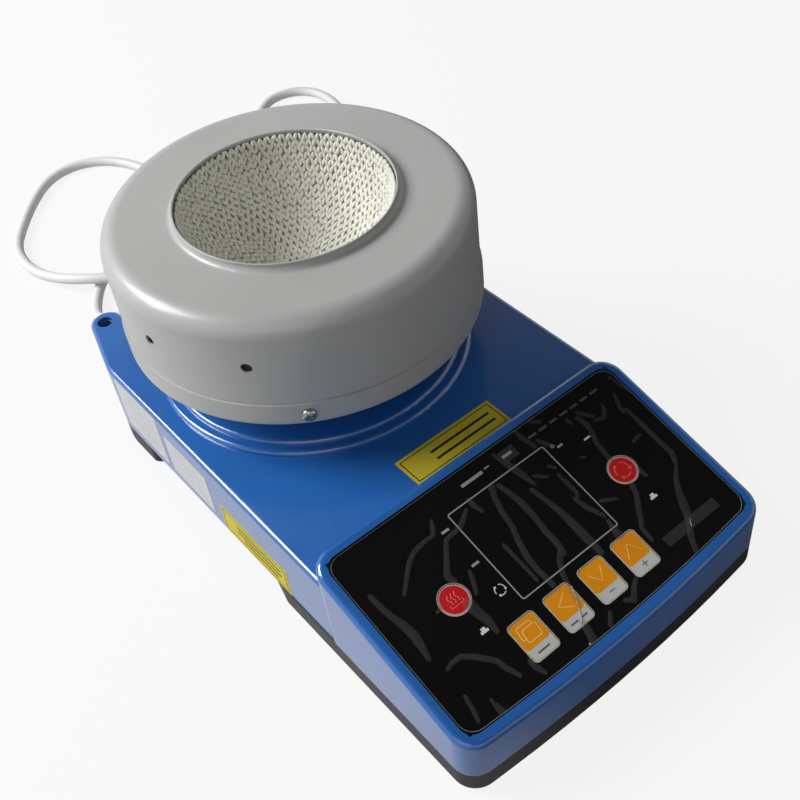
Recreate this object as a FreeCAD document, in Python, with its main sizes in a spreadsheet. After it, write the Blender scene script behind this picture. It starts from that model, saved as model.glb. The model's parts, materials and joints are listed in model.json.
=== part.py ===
import FreeCAD, Part
import math
import operator
import os

import Sketcher
from FreeCAD import Placement, Rotation, Vector

# A laboratory magnetic stirrer with a round heating mantle on its rear deck.
# Millimetres. The front faces -Y, +X is to its right, +Z is up, and the origin is on the table,
# in the middle of the appliance without its mains cord.

SIZES = {
    # Cast housing
    "console_width": 190.0,
    "deck_width": 189.0,
    "front_y": -166.2,
    "front_apex": 7.3,
    "front_apex_radius": 977.0,
    "plan_corner": 12.0,
    "rear_y": 150.0,
    "ear_y": 170.6,
    "ear_inner_x": 66.0,
    "ear_outer_x": 82.2,
    "ear_round": 9.2,
    "ear_root": 8.0,
    "side_end_y": 126.8,
    "side_end_round": 40.0,
    "deck_height": 59.5,
    "deck_round": 2.5,
    "wall": 3.0,
    "console_rear_y": -59.7,
    "console_front_height": 39.7,
    "console_tilt": 15.64,
    "console_round": 3.0,
    "console_wall": 3.5,
    "cavity_corner": 8.5,
    "cavity_skin": 0.1,
    "cavity_side_step": 8.0,
    "cavity_ear_step": 1.0,
    "blank_height": 80.0,
    "blank_margin": 30.0,
    "cut_over": 1.0,
    "small_edge": 1.0,
    # Stepped boss and neck under the mantle
    "boss_root": 2.0,
    "boss_radius": 84.8,
    "boss_rise": 3.0,
    "boss_step_radius": 79.8,
    "boss_step_rise": 2.6,
    "boss_edge": 2.2,
    "neck_radius": 64.0,
    "neck_bore": 61.0,
    "bore_root": 20.0,
    "neck_foot_round": 3.0,
    "neck_top_plate": 3.0,
    # Base tray and feet
    "foot_height": 2.5,
    "foot_radius": 9.0,
    "foot_edge": 1.0,
    "foot_stem_radius": 3.0,
    "foot_stem_height": 2.0,
    "foot_x": 68.0,
    "foot_front_y": -128.0,
    "foot_rear_y": 120.0,
    "base_height": 12.7,
    "base_floor": 3.0,
    "base_edge": 1.5,
    "tray_room_margin": 10.0,
    "grip_depth": 6.0,
    "grip_front_y": -28.2,
    "grip_front_ramp": 24.0,
    "grip_rear_y": 101.8,
    "grip_rear_ramp": 6.0,
    "post_x": 81.0,
    "post_y": -142.0,
    "post_radius": 5.0,
    "post_gap": 0.5,
    "post_trim": 8.0,
    "head_sink": 0.2,
    "head_play": 0.4,
    "ear_centre_x": 75.2,
    "ear_centre_y": 161.4,
    "rod_hole_x": 76.4,
    "rod_hole_radius": 4.25,
    "rod_hole_depth": 30.0,
    # Membrane panel, in the tilted plane of the console top
    "panel_centre_y": -113.6,
    "panel_width": 179.3,
    "panel_length": 99.4,
    "panel_apex": 5.4,
    "panel_apex_radius": 1190.0,
    "panel_corner": 7.0,
    "recess_depth": 2.8,
    "panel_floor": 2.2,
    "panel_gap": 0.3,
    "overlay_thick": 1.9,
    "film_thick": 0.15,
    "key_drop": 0.3,
    "key_thick": 0.8,
    "key_gap": 0.25,
    "key_width": 14.6,
    "key_length": 19.5,
    "key_round": 2.0,
    "key_first_x": -37.45,
    "key_pitch": 21.47,
    "key_row_y": -33.2,
    "round_key_radius": 7.4,
    "round_key_x": 53.7,
    "round_key_y": 1.1,
    "stem_radius": 2.2,
    "stem_length": 4.5,
    "stem_hole_radius": 3.2,
    "window_width": 57.0,
    "window_length": 48.0,
    "window_y": 7.7,
    "display_width": 56.0,
    "display_length": 47.0,
    "display_gap": 0.1,
    "board_drop": 10.6,
    "board_thick": 1.6,
    "board_width": 146.0,
    "board_length": 88.0,
    "board_pillar_x": 66.0,
    "board_pillar_y": 37.0,
    "board_pillar_radius": 3.5,
    "pillar_sink": 1.0,
    "switch_width": 6.0,
    "switch_height": 3.2,
    "plunger_radius": 1.7,
    "plunger_height": 0.35,
    # Heating mantle
    "mantle_y": 63.2,
    "mantle_bottom": 90.9,
    "band_radius": 93.2,
    "band_height": 13.5,
    "band_edge": 2.5,
    "sheet": 1.0,
    "skirt_bottom": 95.0,
    "mantle_top": 152.9,
    "mantle_round": 9.5,
    "opening_radius": 54.3,
    "collar_height": 4.0,
    "collar_foot": 3.0,
    "collar_edge": 0.4,
    "vent_radius": 2.8,
    "vent_height": 127.8,
    "vent_cut": 12.0,
    "vent_depth": 8.0,
    "vent_first": -172.3,
    "vent_second": -139.0,
    "mantle_screw_height": 98.0,
    "mantle_screw_first": -124.3,
    "bowl_radius": 54.0,
    "bowl_centre": 158.7,
    "cloth": 2.0,
    "rim_radius": 53.3,
    "rim_height": 149.9,
    "flange_radius": 66.0,
    "flange_thick": 1.9,
    "element_thick": 3.0,
    "element_gap": 0.1,
    "element_first": 16.0,
    "element_step": 9.0,
    "element_play": 0.2,
    "insulation_gap": 6.0,
    "screw_pocket": 2.2,
    "screw_pocket_length": 20.0,
    "sensor_radius": 2.0,
    "sensor_pocket_over": 5.0,
    "terminal_x": 24.0,
    "terminal_y": 12.0,
    "terminal_z": 10.0,
    "terminal_radius": 76.0,
    "terminal_play": 1.0,
    "terminal_bore": 2.0,
    "terminal_bore_x": 6.0,
    "bolt_circle": 45.0,
    "bolt_pocket": 5.5,
    "bolt_pocket_height": 4.0,
    # Stirring drive
    "motor_radius": 18.0,
    "motor_height": 32.0,
    "motor_boss_radius": 6.5,
    "motor_boss_height": 2.5,
    "shaft_radius": 3.0,
    "shaft_play": 0.05,
    "shaft_bottom": 40.0,
    "shaft_top": 79.0,
    "shaft_end_gap": 1.0,
    "bracket_x": 150.0,
    "bracket_y": 46.0,
    "bracket_thick": 2.5,
    "bracket_screw_x": 68.0,
    "bracket_screw_y": 15.0,
    "carrier_radius": 32.0,
    "carrier_thick": 5.0,
    "carrier_hub_radius": 8.0,
    "carrier_hub_height": 8.0,
    "magnet_radius": 9.0,
    "magnet_height": 7.5,
    "magnet_offset": 20.0,
    # Power parts on the tray floor
    "transformer_x": -50.0,
    "transformer_y": 108.0,
    "core_x": 57.0,
    "core_y": 28.0,
    "core_z": 38.0,
    "bobbin_x": 37.0,
    "bobbin_y": 44.0,
    "bobbin_z": 26.0,
    "power_board_x": 42.0,
    "power_board_y": 108.0,
    "power_board_width": 76.0,
    "power_board_length": 56.0,
    "standoff_height": 5.0,
    "standoff_radius": 3.0,
    "standoff_inset": 5.0,
    "capacitor_radius": 8.0,
    "capacitor_height": 20.0,
    "capacitor_first_x": -24.0,
    "capacitor_pitch": 18.0,
    "capacitor_y": -14.0,
    "relay_middle_x": -20.0,
    "relay_middle_y": 12.0,
    "relay_x": 19.0,
    "relay_y": 15.0,
    "relay_z": 15.0,
    "heatsink_middle_x": 16.0,
    "heatsink_x": 40.0,
    "heatsink_y": 12.0,
    "heatsink_z": 26.0,
    "fin_gap": 3.0,
    "fin_depth": 8.0,
    # Rear wall fittings and mains cord
    "rear_cut": 20.0,
    "gland_x": -49.3,
    "gland_z": 23.5,
    "gland_hole": 6.5,
    "gland_flange": 8.5,
    "gland_flange_thick": 2.5,
    "gland_length": 30.0,
    "gland_tip": 4.6,
    "gland_tail": 8.0,
    "fuse_x": 20.0,
    "fuse_hole": 6.0,
    "fuse_cap": 7.5,
    "fuse_cap_length": 7.0,
    "fuse_tail": 22.0,
    "cord_radius": 3.5,
    "coil_x": 125.0,
    "coil_y": 290.0,
    "coil_radius": 38.0,
    "coil_play": 0.2,
    "coil_height": 14.3,
    "plug_face": 30.0,
    "plug_neck": 13.0,
    "plug_length": 30.0,
    "plug_round": 6.0,
    "plug_relief": 14.0,
    "relief_step": 1.0,
    "blade_length": 18.0,
    "blade_width": 6.3,
    "blade_thick": 1.6,
    "blade_radius": 7.9,
}

# Counts of what repeats, and each plug blade's angle about the plug with the turn of its flat
ELEMENT_RINGS = 7
CAPACITORS = 2
FIN_SLOTS = 6
BLADES = ((30, 120), (150, 60), (270, 90))

# How much of a cord's shorter run its corner arc takes on each side
CORNER_SHARE = 0.45

# Free cord from the gland to the coil and from the coil to the plug: route points at the cord's middle.
CORD_ROUTE = [
    (-49.3, 180.0, 23.5),
    (-49.3, 197.0, 23.5),
    (-52.0, 214.5, 18.5),
    (-56.5, 232.0, 10.0),
    (-53.5, 249.5, 4.2),
    (-41.5, 265.0, 3.7),
    (-24.0, 281.0, 3.7),
    (-2.0, 296.0, 3.7),
    (22.0, 308.0, 3.7),
    (43.0, 324.0, 3.7),
    (53.0, 349.0, 3.7),
    (46.0, 377.0, 3.7),
    (33.5, 397.0, 3.7),
    (13.0, 408.5, 3.7),
    (-9.0, 404.5, 3.7),
    (-28.5, 389.0, 3.7),
    (-48.0, 369.0, 3.7),
    (-65.5, 345.0, 3.7),
    (-67.5, 314.0, 4.0),
    (-60.5, 289.0, 7.5),
    (-48.5, 268.5, 11.6),
    (-33.5, 255.0, 11.6),
    (-15.5, 241.5, 9.5),
    (8.0, 228.0, 5.0),
    (38.0, 217.0, 3.7),
    (74.0, 208.5, 3.7),
    (112.0, 210.0, 3.7),
    (146.0, 226.0, 3.7),
    (172.0, 254.0, 3.7),
    (185.0, 285.0, 3.7),
    (193.0, 312.0, 3.7),
    (200.5, 334.0, 3.7),
    (204.5, 352.0, 3.7),
    (201.5, 364.0, 3.7),
    (191.0, 371.0, 3.7),
    (178.0, 369.0, 3.7),
    (163.0, 359.0, 3.7),
    (144.0, 345.0, 3.7),
    (123.5, 331.5, 3.7),
    (106.6, 323.2, 3.7),
]
TAIL_ROUTE = [
    (132.3, 327.3, 10.8),
    (114.5, 330.8, 10.8),
    (96.5, 330.0, 11.8),
    (81.0, 321.0, 13.8),
    (71.0, 306.0, 15.1),
    (62.5, 290.0, 15.1),
]


class Size:
    """A length that is worked out from the sheet: its number, and the expression that binds it."""

    def __init__(self, number, text):
        self.number = number
        self.text = text

    def __add__(self, other):
        return joined(self, "+", other)

    def __radd__(self, other):
        return joined(other, "+", self)

    def __sub__(self, other):
        return joined(self, "-", other)

    def __rsub__(self, other):
        return joined(other, "-", self)

    def __mul__(self, other):
        return joined(self, "*", other)

    def __rmul__(self, other):
        return joined(other, "*", self)

    def __truediv__(self, other):
        return joined(self, "/", other)

    def __neg__(self):
        return joined(0.0, "-", self)


OPERATIONS = {"+": operator.add, "-": operator.sub, "*": operator.mul, "/": operator.truediv}


def as_size(value):
    """A plain number as a size of its own."""
    return value if isinstance(value, Size) else Size(float(value), repr(float(value)))


def joined(left, sign, right):
    """Two sizes joined by one of the four operations."""
    left = as_size(left)
    right = as_size(right)
    number = OPERATIONS[sign](left.number, right.number)
    return Size(number, "(" + left.text + " " + sign + " " + right.text + ")")


doc = FreeCAD.newDocument("MantleStirrer")
sheet = doc.addObject("Spreadsheet::Sheet", "Sizes")
size = {}
for row, (alias, number) in enumerate(SIZES.items(), start=1):
    sheet.set("A" + str(row), alias)
    sheet.set("B" + str(row), str(number))
    sheet.setAlias("B" + str(row), alias)
    size[alias] = Size(number, "Sizes." + alias)
doc.recompute()

parts = []
tilt = math.radians(SIZES["console_tilt"])


def bind(item, path, value):
    """Binds one property of an object to the sheet."""
    item.setExpression(path, as_size(value).text)


def finish(item, label):
    """Marks an object as a finished sub-part under its own name."""
    item.Label = label
    parts.append(item)
    return item


def new_body(name):
    """An empty body."""
    return doc.addObject("PartDesign::Body", name)


def body_plane(body, role):
    """One of the body's own origin planes."""
    for item in body.Origin.OriginFeatures:
        if item.Role == role:
            return item
    raise ValueError(role)


def new_sketch(body, name, role="XY_Plane", offset=(0, 0, 0), turn=None):
    """A sketch on an origin plane of the body, moved by an offset and perhaps turned about its own X."""
    sketch = body.newObject("Sketcher::SketchObject", name)
    sketch.AttachmentSupport = [(body_plane(body, role), "")]
    sketch.MapMode = "FlatFace"
    base = [as_size(value) for value in offset]
    angle = 0.0 if turn is None else turn.number
    sketch.AttachmentOffset = Placement(
        Vector(*[value.number for value in base]), Rotation(Vector(1, 0, 0), angle)
    )
    for axis, value in zip("xyz", base):
        bind(sketch, "AttachmentOffset.Base." + axis, value)
    return sketch


def place_point(sketch, geometry, position, spot):
    """Fixes one point of a sketch at a place that is bound to the sheet."""
    for kind, axis, value in (("DistanceX", -2, spot[0]), ("DistanceY", -1, spot[1])):
        value = as_size(value)
        if abs(value.number) < 1e-9:
            sketch.addConstraint(Sketcher.Constraint("PointOnObject", geometry, position, axis))
            continue
        index = sketch.addConstraint(
            Sketcher.Constraint(kind, -1, 1, geometry, position, value.number)
        )
        bind(sketch, "Constraints[" + str(index) + "]", value)


def bind_radius(sketch, geometry, radius):
    """Fixes a circle's or an arc's radius, bound to the sheet."""
    index = sketch.addConstraint(Sketcher.Constraint("Radius", geometry, as_size(radius).number))
    bind(sketch, "Constraints[" + str(index) + "]", radius)


def draw_circle(sketch, x, y, radius):
    """A circle at a place that is bound to the sheet."""
    centre = Vector(as_size(x).number, as_size(y).number, 0)
    circle = Part.Circle(centre, Vector(0, 0, 1), as_size(radius).number)
    geometry = sketch.addGeometry(circle, False)
    place_point(sketch, geometry, 3, (x, y))
    bind_radius(sketch, geometry, radius)


def corner_arc(before, corner, after, radius):
    """The tangent points and the middle of the arc that rounds a corner, and whether it turns left."""
    back = (before - corner).normalize()
    ahead = (after - corner).normalize()
    half = math.acos(max(-1.0, min(1.0, back.dot(ahead)))) / 2
    reach = radius / math.tan(half)
    middle = (back + ahead).normalize()
    centre = corner + middle * (radius / math.sin(half))
    start = corner + back * reach
    end = corner + ahead * reach
    turns_left = back.cross(ahead).z < 0
    return start, end, centre, turns_left


def draw_loop(sketch, corners):
    """Closes an outline through corners (x, y) or (x, y, radius), each bound to the sheet."""
    count = len(corners)
    spots = [Vector(as_size(item[0]).number, as_size(item[1]).number, 0) for item in corners]
    leave = list(spots)
    reach = list(spots)
    arcs = {}
    for index, item in enumerate(corners):
        if len(item) > 2:
            radius = as_size(item[2]).number
            start, end, centre, left = corner_arc(
                spots[index - 1], spots[index], spots[(index + 1) % count], radius
            )
            reach[index] = start
            leave[index] = end
            first, last = (start, end) if left else (end, start)
            angles = [math.atan2(spot.y - centre.y, spot.x - centre.x) for spot in (first, last)]
            circle = Part.Circle(centre, Vector(0, 0, 1), radius)
            arcs[index] = (sketch.addGeometry(Part.ArcOfCircle(circle, *angles), False), left)
    lines = [
        sketch.addGeometry(Part.LineSegment(leave[index], reach[(index + 1) % count]), False)
        for index in range(count)
    ]
    for index, item in enumerate(corners):
        line_in = lines[index - 1]
        line_out = lines[index]
        if index not in arcs:
            sketch.addConstraint(Sketcher.Constraint("Coincident", line_in, 2, line_out, 1))
            place_point(sketch, line_out, 1, item[:2])
            continue
        arc, left = arcs[index]
        point = sketch.addGeometry(Part.Point(spots[index]), True)
        place_point(sketch, point, 1, item[:2])
        sketch.addConstraint(Sketcher.Constraint("PointOnObject", point, 1, line_in))
        sketch.addConstraint(Sketcher.Constraint("PointOnObject", point, 1, line_out))
        arc_in, arc_out = (1, 2) if left else (2, 1)
        sketch.addConstraint(Sketcher.Constraint("Tangent", line_in, 2, arc, arc_in))
        sketch.addConstraint(Sketcher.Constraint("Tangent", arc, arc_out, line_out, 1))
        bind_radius(sketch, arc, item[2])


def rectangle(x, y, width, length, radius=None):
    """The corners of a rectangle about a middle point."""
    corners = [
        (x - width / 2, y - length / 2),
        (x + width / 2, y - length / 2),
        (x + width / 2, y + length / 2),
        (x - width / 2, y + length / 2),
    ]
    return corners if radius is None else [corner + (radius,) for corner in corners]


def mirrored(right_side):
    """The corners of an outline that is the same on both sides of the middle plane."""
    left_side = [(-corner[0],) + tuple(corner[1:]) for corner in reversed(right_side)]
    return right_side + left_side


def add_pad(body, sketch, name, length, downwards=False, symmetric=False):
    """A pad of a sketch."""
    item = body.newObject("PartDesign::Pad", name)
    item.Profile = sketch
    bind(item, "Length", length)
    item.Reversed = downwards
    item.SideType = "Symmetric" if symmetric else "One side"
    return item


def add_pocket(body, sketch, name, length, reverse=False, symmetric=False):
    """A pocket of a sketch."""
    item = body.newObject("PartDesign::Pocket", name)
    item.Profile = sketch
    bind(item, "Length", length)
    item.Reversed = reverse
    item.SideType = "Symmetric" if symmetric else "One side"
    return item


def add_revolution(body, sketch, name):
    """A full turn of a sketch about its own vertical axis."""
    item = body.newObject("PartDesign::Revolution", name)
    item.Profile = sketch
    item.ReferenceAxis = (sketch, ["V_Axis"])
    item.Angle = 360
    return item


def add_fillet(body, base, name, radius, wanted):
    """Rounds the edges of a feature that the test picks."""
    doc.recompute()
    edges = ["Edge" + str(i) for i, edge in enumerate(base.Shape.Edges, start=1) if wanted(edge)]
    item = body.newObject("PartDesign::Fillet", name)
    item.Base = (base, edges)
    bind(item, "Radius", radius)
    return item


def turned_body(name, profile, label=None):
    """A body turned about the mantle's axis from a profile of radii and heights."""
    body = new_body(name)
    sketch = new_sketch(body, name + "Profile", "XZ_Plane", (0, 0, -size["mantle_y"]))
    draw_loop(sketch, profile)
    add_revolution(body, sketch, name + "Turn")
    return finish(body, label) if label else body


def cylinder(name, radius, height, base, direction=Vector(0, 0, 1)):
    """A cylinder primitive from a base point along a direction."""
    item = doc.addObject("Part::Cylinder", name)
    bind(item, "Radius", radius)
    bind(item, "Height", height)
    item.Placement = Placement(base, Rotation(Vector(0, 0, 1), direction))
    return item


def box(name, width, length, height, middle):
    """A box primitive that stands on a point."""
    item = doc.addObject("Part::Box", name)
    bind(item, "Length", width)
    bind(item, "Width", length)
    bind(item, "Height", height)
    half = Vector(as_size(width).number / 2, as_size(length).number / 2, 0)
    item.Placement = Placement(middle - half, Rotation())
    return item


def fused(name, items):
    """Several objects joined."""
    item = doc.addObject("Part::MultiFuse", name)
    item.Shapes = items
    item.Refine = True
    return item


def cut(name, base, tool):
    """One object less another."""
    item = doc.addObject("Part::Cut", name)
    item.Base = base
    item.Tool = tool
    return item


def feature(name, shape, label):
    """A finished sub-part whose shape is made here."""
    item = doc.addObject("Part::Feature", name)
    item.Shape = shape
    return finish(item, label)


def mantle_point(radius, angle, height):
    """A point about the mantle's axis."""
    turn = math.radians(angle)
    middle = SIZES["mantle_y"]
    return Vector(radius * math.cos(turn), middle + radius * math.sin(turn), height)


def outward(angle):
    """The direction away from the mantle's axis."""
    turn = math.radians(angle)
    return Vector(math.cos(turn), math.sin(turn), 0)


# Tilted plane of the console top
rise = math.tan(tilt)
panel_height = SIZES["console_front_height"] + (SIZES["panel_centre_y"] - SIZES["front_y"]) * rise
panel_place = Placement(
    Vector(0, SIZES["panel_centre_y"], panel_height), Rotation(Vector(1, 0, 0), SIZES["console_tilt"])
)


def console_line(y, drop=0.0):
    """The height of the console's tilted plane above a point of the table, less a drop across it."""
    return SIZES["console_front_height"] + (y - SIZES["front_y"]) * rise - drop / math.cos(tilt)


def panel_body(name, corners_of_loops, bottom, thickness, label=None):
    """A flat body in the panel's tilted frame, from loops drawn at one depth."""
    body = new_body(name)
    sketch = new_sketch(body, name + "Outline", "XY_Plane", (0, 0, bottom))
    for corners in corners_of_loops:
        if len(corners) == 1:
            draw_circle(sketch, *corners[0])
        else:
            draw_loop(sketch, corners)
    add_pad(body, sketch, name + "Pad", thickness)
    body.Placement = panel_place
    return finish(body, label) if label else body


# Housing: the same form, once full size and once inset by its walls

front_y = size["front_y"]


def front_corners(half_width, y, radius):
    """The bowed front between two rounded corners, from left to right."""
    return [(-half_width, y, radius), (0, y - size["front_apex"], size["front_apex_radius"]),
            (half_width, y, radius)]


def deck_side(half_width):
    """The right side of the deck's outline, from the straight side to the rear wall."""
    return [
        (half_width, size["side_end_y"], size["side_end_round"]),
        (size["ear_outer_x"], size["ear_y"], size["ear_round"]),
        (size["ear_inner_x"], size["ear_y"], size["ear_round"]),
        (size["ear_inner_x"], size["rear_y"], size["ear_root"]),
    ]


def console_wedge(body, name, drop, rear_y):
    """Cuts everything above the console's tilted plane, back to its rear wall."""
    sketch = new_sketch(body, name + "Side", "YZ_Plane")
    start_y = SIZES["front_y"] - SIZES["blank_margin"]
    end_y = as_size(rear_y).number
    ceiling = size["blank_height"] + size["blank_margin"]
    draw_loop(sketch, [
        (start_y, console_line(start_y, drop)),
        (rear_y, console_line(end_y, drop)),
        (rear_y, ceiling),
        (start_y, ceiling),
    ])
    return add_pocket(body, sketch, name, size["console_width"] * 2, symmetric=True)


def hull(name, bottom, console_half, deck_corners, front, corner, deck_top, rear_y, drop):
    """Deck and console raised from their outlines, with the console's top cut to its tilt."""
    body = new_body(name)
    deck_sketch = new_sketch(body, name + "DeckPlan", "XY_Plane", (0, 0, bottom))
    draw_loop(deck_sketch, deck_corners)
    add_pad(body, deck_sketch, name + "Deck", deck_top - bottom)
    console_sketch = new_sketch(body, name + "ConsolePlan", "XY_Plane", (0, 0, bottom))
    draw_loop(console_sketch, front_corners(console_half, front, corner) + [
        (console_half, rear_y, corner), (-console_half, rear_y, corner),
    ])
    add_pad(body, console_sketch, name + "Console", size["blank_height"] - bottom)
    wedge = console_wedge(body, name + "Wedge", drop, rear_y)
    return body, wedge


base_top = size["foot_height"] + size["base_height"]
half_console = size["console_width"] / 2
half_deck = size["deck_width"] / 2
deck_inset = half_console - half_deck

outer, outer_wedge = hull(
    "HousingForm", base_top, half_console,
    front_corners(half_deck, front_y + deck_inset, size["plan_corner"]) + mirrored(deck_side(half_deck)),
    front_y, size["plan_corner"], size["deck_height"], size["console_rear_y"], 0.0,
)


def on_console_top(edge):
    """Whether an edge bounds the console's tilted top."""
    ends = [vertex.Point for vertex in edge.Vertexes]
    middle = edge.valueAt((edge.FirstParameter + edge.LastParameter) / 2)
    flat = all(abs(spot.z - console_line(spot.y)) < 0.01 for spot in ends + [middle])
    return flat and edge.Length > 1


def on_deck_edge(edge):
    """Whether an edge bounds the deck's top on the outline, away from the console."""
    spots = [vertex.Point for vertex in edge.Vertexes]
    spots.append(edge.valueAt((edge.FirstParameter + edge.LastParameter) / 2))
    level = all(abs(spot.z - SIZES["deck_height"]) < 0.01 for spot in spots)
    behind = all(spot.y > SIZES["console_rear_y"] - SIZES["plan_corner"] - 1 for spot in spots)
    middle = spots[-1]
    by_console = abs(middle.y - SIZES["console_rear_y"]) < SIZES["plan_corner"] - 0.5
    return level and behind and not (by_console and abs(middle.x) < SIZES["deck_width"] / 2 - 0.1)


console_rim = add_fillet(outer, outer_wedge, "ConsoleRim", size["console_round"], on_console_top)
add_fillet(outer, console_rim, "DeckRim", size["deck_round"], on_deck_edge)

# Stepped boss with the neck that carries the mantle
boss_foot = size["deck_height"] - size["boss_root"]
boss_top = size["deck_height"] + size["boss_rise"]
step_top = boss_top + size["boss_step_rise"]
boss_sketch = new_sketch(outer, "BossProfile", "XZ_Plane", (0, 0, -size["mantle_y"]))
draw_loop(boss_sketch, [
    (0, boss_foot),
    (size["boss_radius"], boss_foot),
    (size["boss_radius"], boss_top, size["boss_edge"]),
    (size["boss_step_radius"], boss_top),
    (size["boss_step_radius"], step_top, size["boss_edge"]),
    (size["neck_radius"], step_top, size["neck_foot_round"]),
    (size["neck_radius"], size["mantle_bottom"]),
    (0, size["mantle_bottom"]),
])
add_revolution(outer, boss_sketch, "Boss")

# Recess for the membrane panel, with holes for key stems and display
recess_sketch = new_sketch(
    outer, "RecessOutline", "XY_Plane", (0, size["panel_centre_y"], panel_height), size["console_tilt"]
)
half_panel = size["panel_width"] / 2
half_length = size["panel_length"] / 2


def panel_outline(gap):
    """The panel's outline with its bowed front edge, inset by a gap."""
    x = half_panel - gap
    y = half_length - gap
    return [
        (-x, -y, size["panel_corner"]),
        (0, -y - size["panel_apex"], size["panel_apex_radius"]),
        (x, -y, size["panel_corner"]),
        (x, y, size["panel_corner"]),
        (-x, y, size["panel_corner"]),
    ]


draw_loop(recess_sketch, panel_outline(as_size(0.0)))
add_pocket(outer, recess_sketch, "PanelRecess", size["recess_depth"])

key_names = ["set_key", "shift_key", "down_key", "up_key"]
key_spots = [(size["key_first_x"] + size["key_pitch"] * step, size["key_row_y"]) for step in range(4)]
round_names = ["heat_key", "stir_key"]
round_spots = [(-size["round_key_x"], size["round_key_y"]), (size["round_key_x"], size["round_key_y"])]

floor_sketch = new_sketch(
    outer, "PanelFloorHoles", "XY_Plane", (0, size["panel_centre_y"], panel_height), size["console_tilt"]
)
for spot in key_spots + round_spots:
    draw_circle(floor_sketch, spot[0], spot[1], size["stem_hole_radius"])
draw_loop(floor_sketch, rectangle(
    as_size(0), size["window_y"], size["window_width"], size["window_length"]
))
floor_cut = size["recess_depth"] + size["panel_floor"] + size["cut_over"]
add_pocket(outer, floor_sketch, "PanelFloorCuts", floor_cut)

# Cavity under deck and console, with the bore of the neck
half_cavity = half_console - size["console_wall"]
cavity_rear = size["rear_y"] - size["wall"]
cavity_front = front_y + size["console_wall"] + deck_inset
cavity_deck = front_corners(half_cavity, cavity_front, size["cavity_corner"]) + mirrored([
    (half_cavity, size["side_end_y"] - size["cavity_side_step"], size["side_end_round"] / 2),
    (size["ear_outer_x"] + size["cavity_ear_step"], cavity_rear, size["boss_edge"] * 2),
])
inner, inner_wedge = hull(
    "HousingCavity", size["foot_height"], half_cavity - size["cavity_skin"], cavity_deck, cavity_front,
    size["cavity_corner"], size["deck_height"] - size["wall"],
    size["console_rear_y"] - size["console_wall"],
    SIZES["recess_depth"] + SIZES["panel_floor"],
)
bore_top = size["mantle_bottom"] - size["neck_top_plate"]
bore_bottom = size["foot_height"] + size["bore_root"]
bore_sketch = new_sketch(inner, "NeckBorePlan", "XY_Plane", (0, 0, bore_bottom))
draw_circle(bore_sketch, 0, size["mantle_y"], size["neck_bore"])
add_pad(inner, bore_sketch, "NeckBore", bore_top - bore_bottom)

hollow = cut("HousingHollow", outer, inner)

# Posts and pillars cast inside the housing
post_top = console_line(SIZES["post_y"]) - SIZES["recess_depth"] - SIZES["post_gap"]
post_height = post_top - base_top.number
cast_posts = []
for side in (-1, 1):
    foot = Vector(side * SIZES["post_x"], SIZES["post_y"], base_top.number)
    cast_posts.append(cylinder("FrontPost", size["post_radius"], post_height, foot))
    for end in (-1, 1):
        pillar_drop = size["board_drop"] - size["recess_depth"] - size["pillar_sink"]
        base = panel_place.multVec(Vector(
            side * SIZES["board_pillar_x"], end * SIZES["board_pillar_y"], -SIZES["board_drop"]
        ))
        normal = panel_place.Rotation.multVec(Vector(0, 0, 1))
        cast_posts.append(cylinder("BoardPillar", size["board_pillar_radius"], pillar_drop, base, normal))
solid_housing = fused("HousingWithPosts", [hollow] + cast_posts)
trim_width = size["panel_width"] - size["cut_over"] * 2
trim_length = size["panel_length"] - size["cut_over"] * 2
post_trim = box("PostTrim", trim_width, trim_length, size["post_trim"], Vector(0, 0, 0))
post_trim.Placement = panel_place.multiply(Placement(
    post_trim.Placement.Base - Vector(0, 0, SIZES["recess_depth"]), Rotation()
))

# Screw sizes: shank radius, shank length, head radius, head height
PAN_SCREW = (1.6, 8.0, 3.6, 2.4)
BASE_SCREW = (2.0, 17.0, 4.0, 2.4)
BRACKET_SCREW = (1.6, 4.5, 3.2, 2.0)
BOARD_SCREW = (1.2, 5.0, 2.4, 1.6)
NECK_BOLT = (2.0, 7.0, 4.0, 2.8)
HEAD_ROUNDING = 0.7


def pan_screw(sizes, place):
    """A screw with a domed head: its shank runs along -Z from under the head, which stands at the place."""
    shank_radius, shank_length, head_radius, head_height = sizes
    head = Part.makeCylinder(head_radius, head_height)
    rim = [edge for edge in head.Edges if abs(edge.BoundBox.ZMin - head_height) < 0.01]
    head = head.makeFillet(head_height * HEAD_ROUNDING, rim)
    shank = Part.makeCylinder(shank_radius, shank_length, Vector(0, 0, -shank_length))
    solid = head.fuse(shank).removeSplitter()
    solid.Placement = place
    return solid


def screw_group(name, label, sizes, places):
    """Identical screws as one group of separate solids."""
    return feature(name, Part.makeCompound([pan_screw(sizes, place) for place in places]), label)


def holes(name, sizes, places):
    """Cylinders along the shanks of a group of screws, to be cut from what they hold."""
    items = []
    for place in places:
        item = doc.addObject("Part::Cylinder", name)
        item.Radius = sizes[0]
        item.Height = sizes[1]
        item.Placement = place.multiply(Placement(Vector(0, 0, -sizes[1]), Rotation()))
        items.append(item)
    return items


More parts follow.
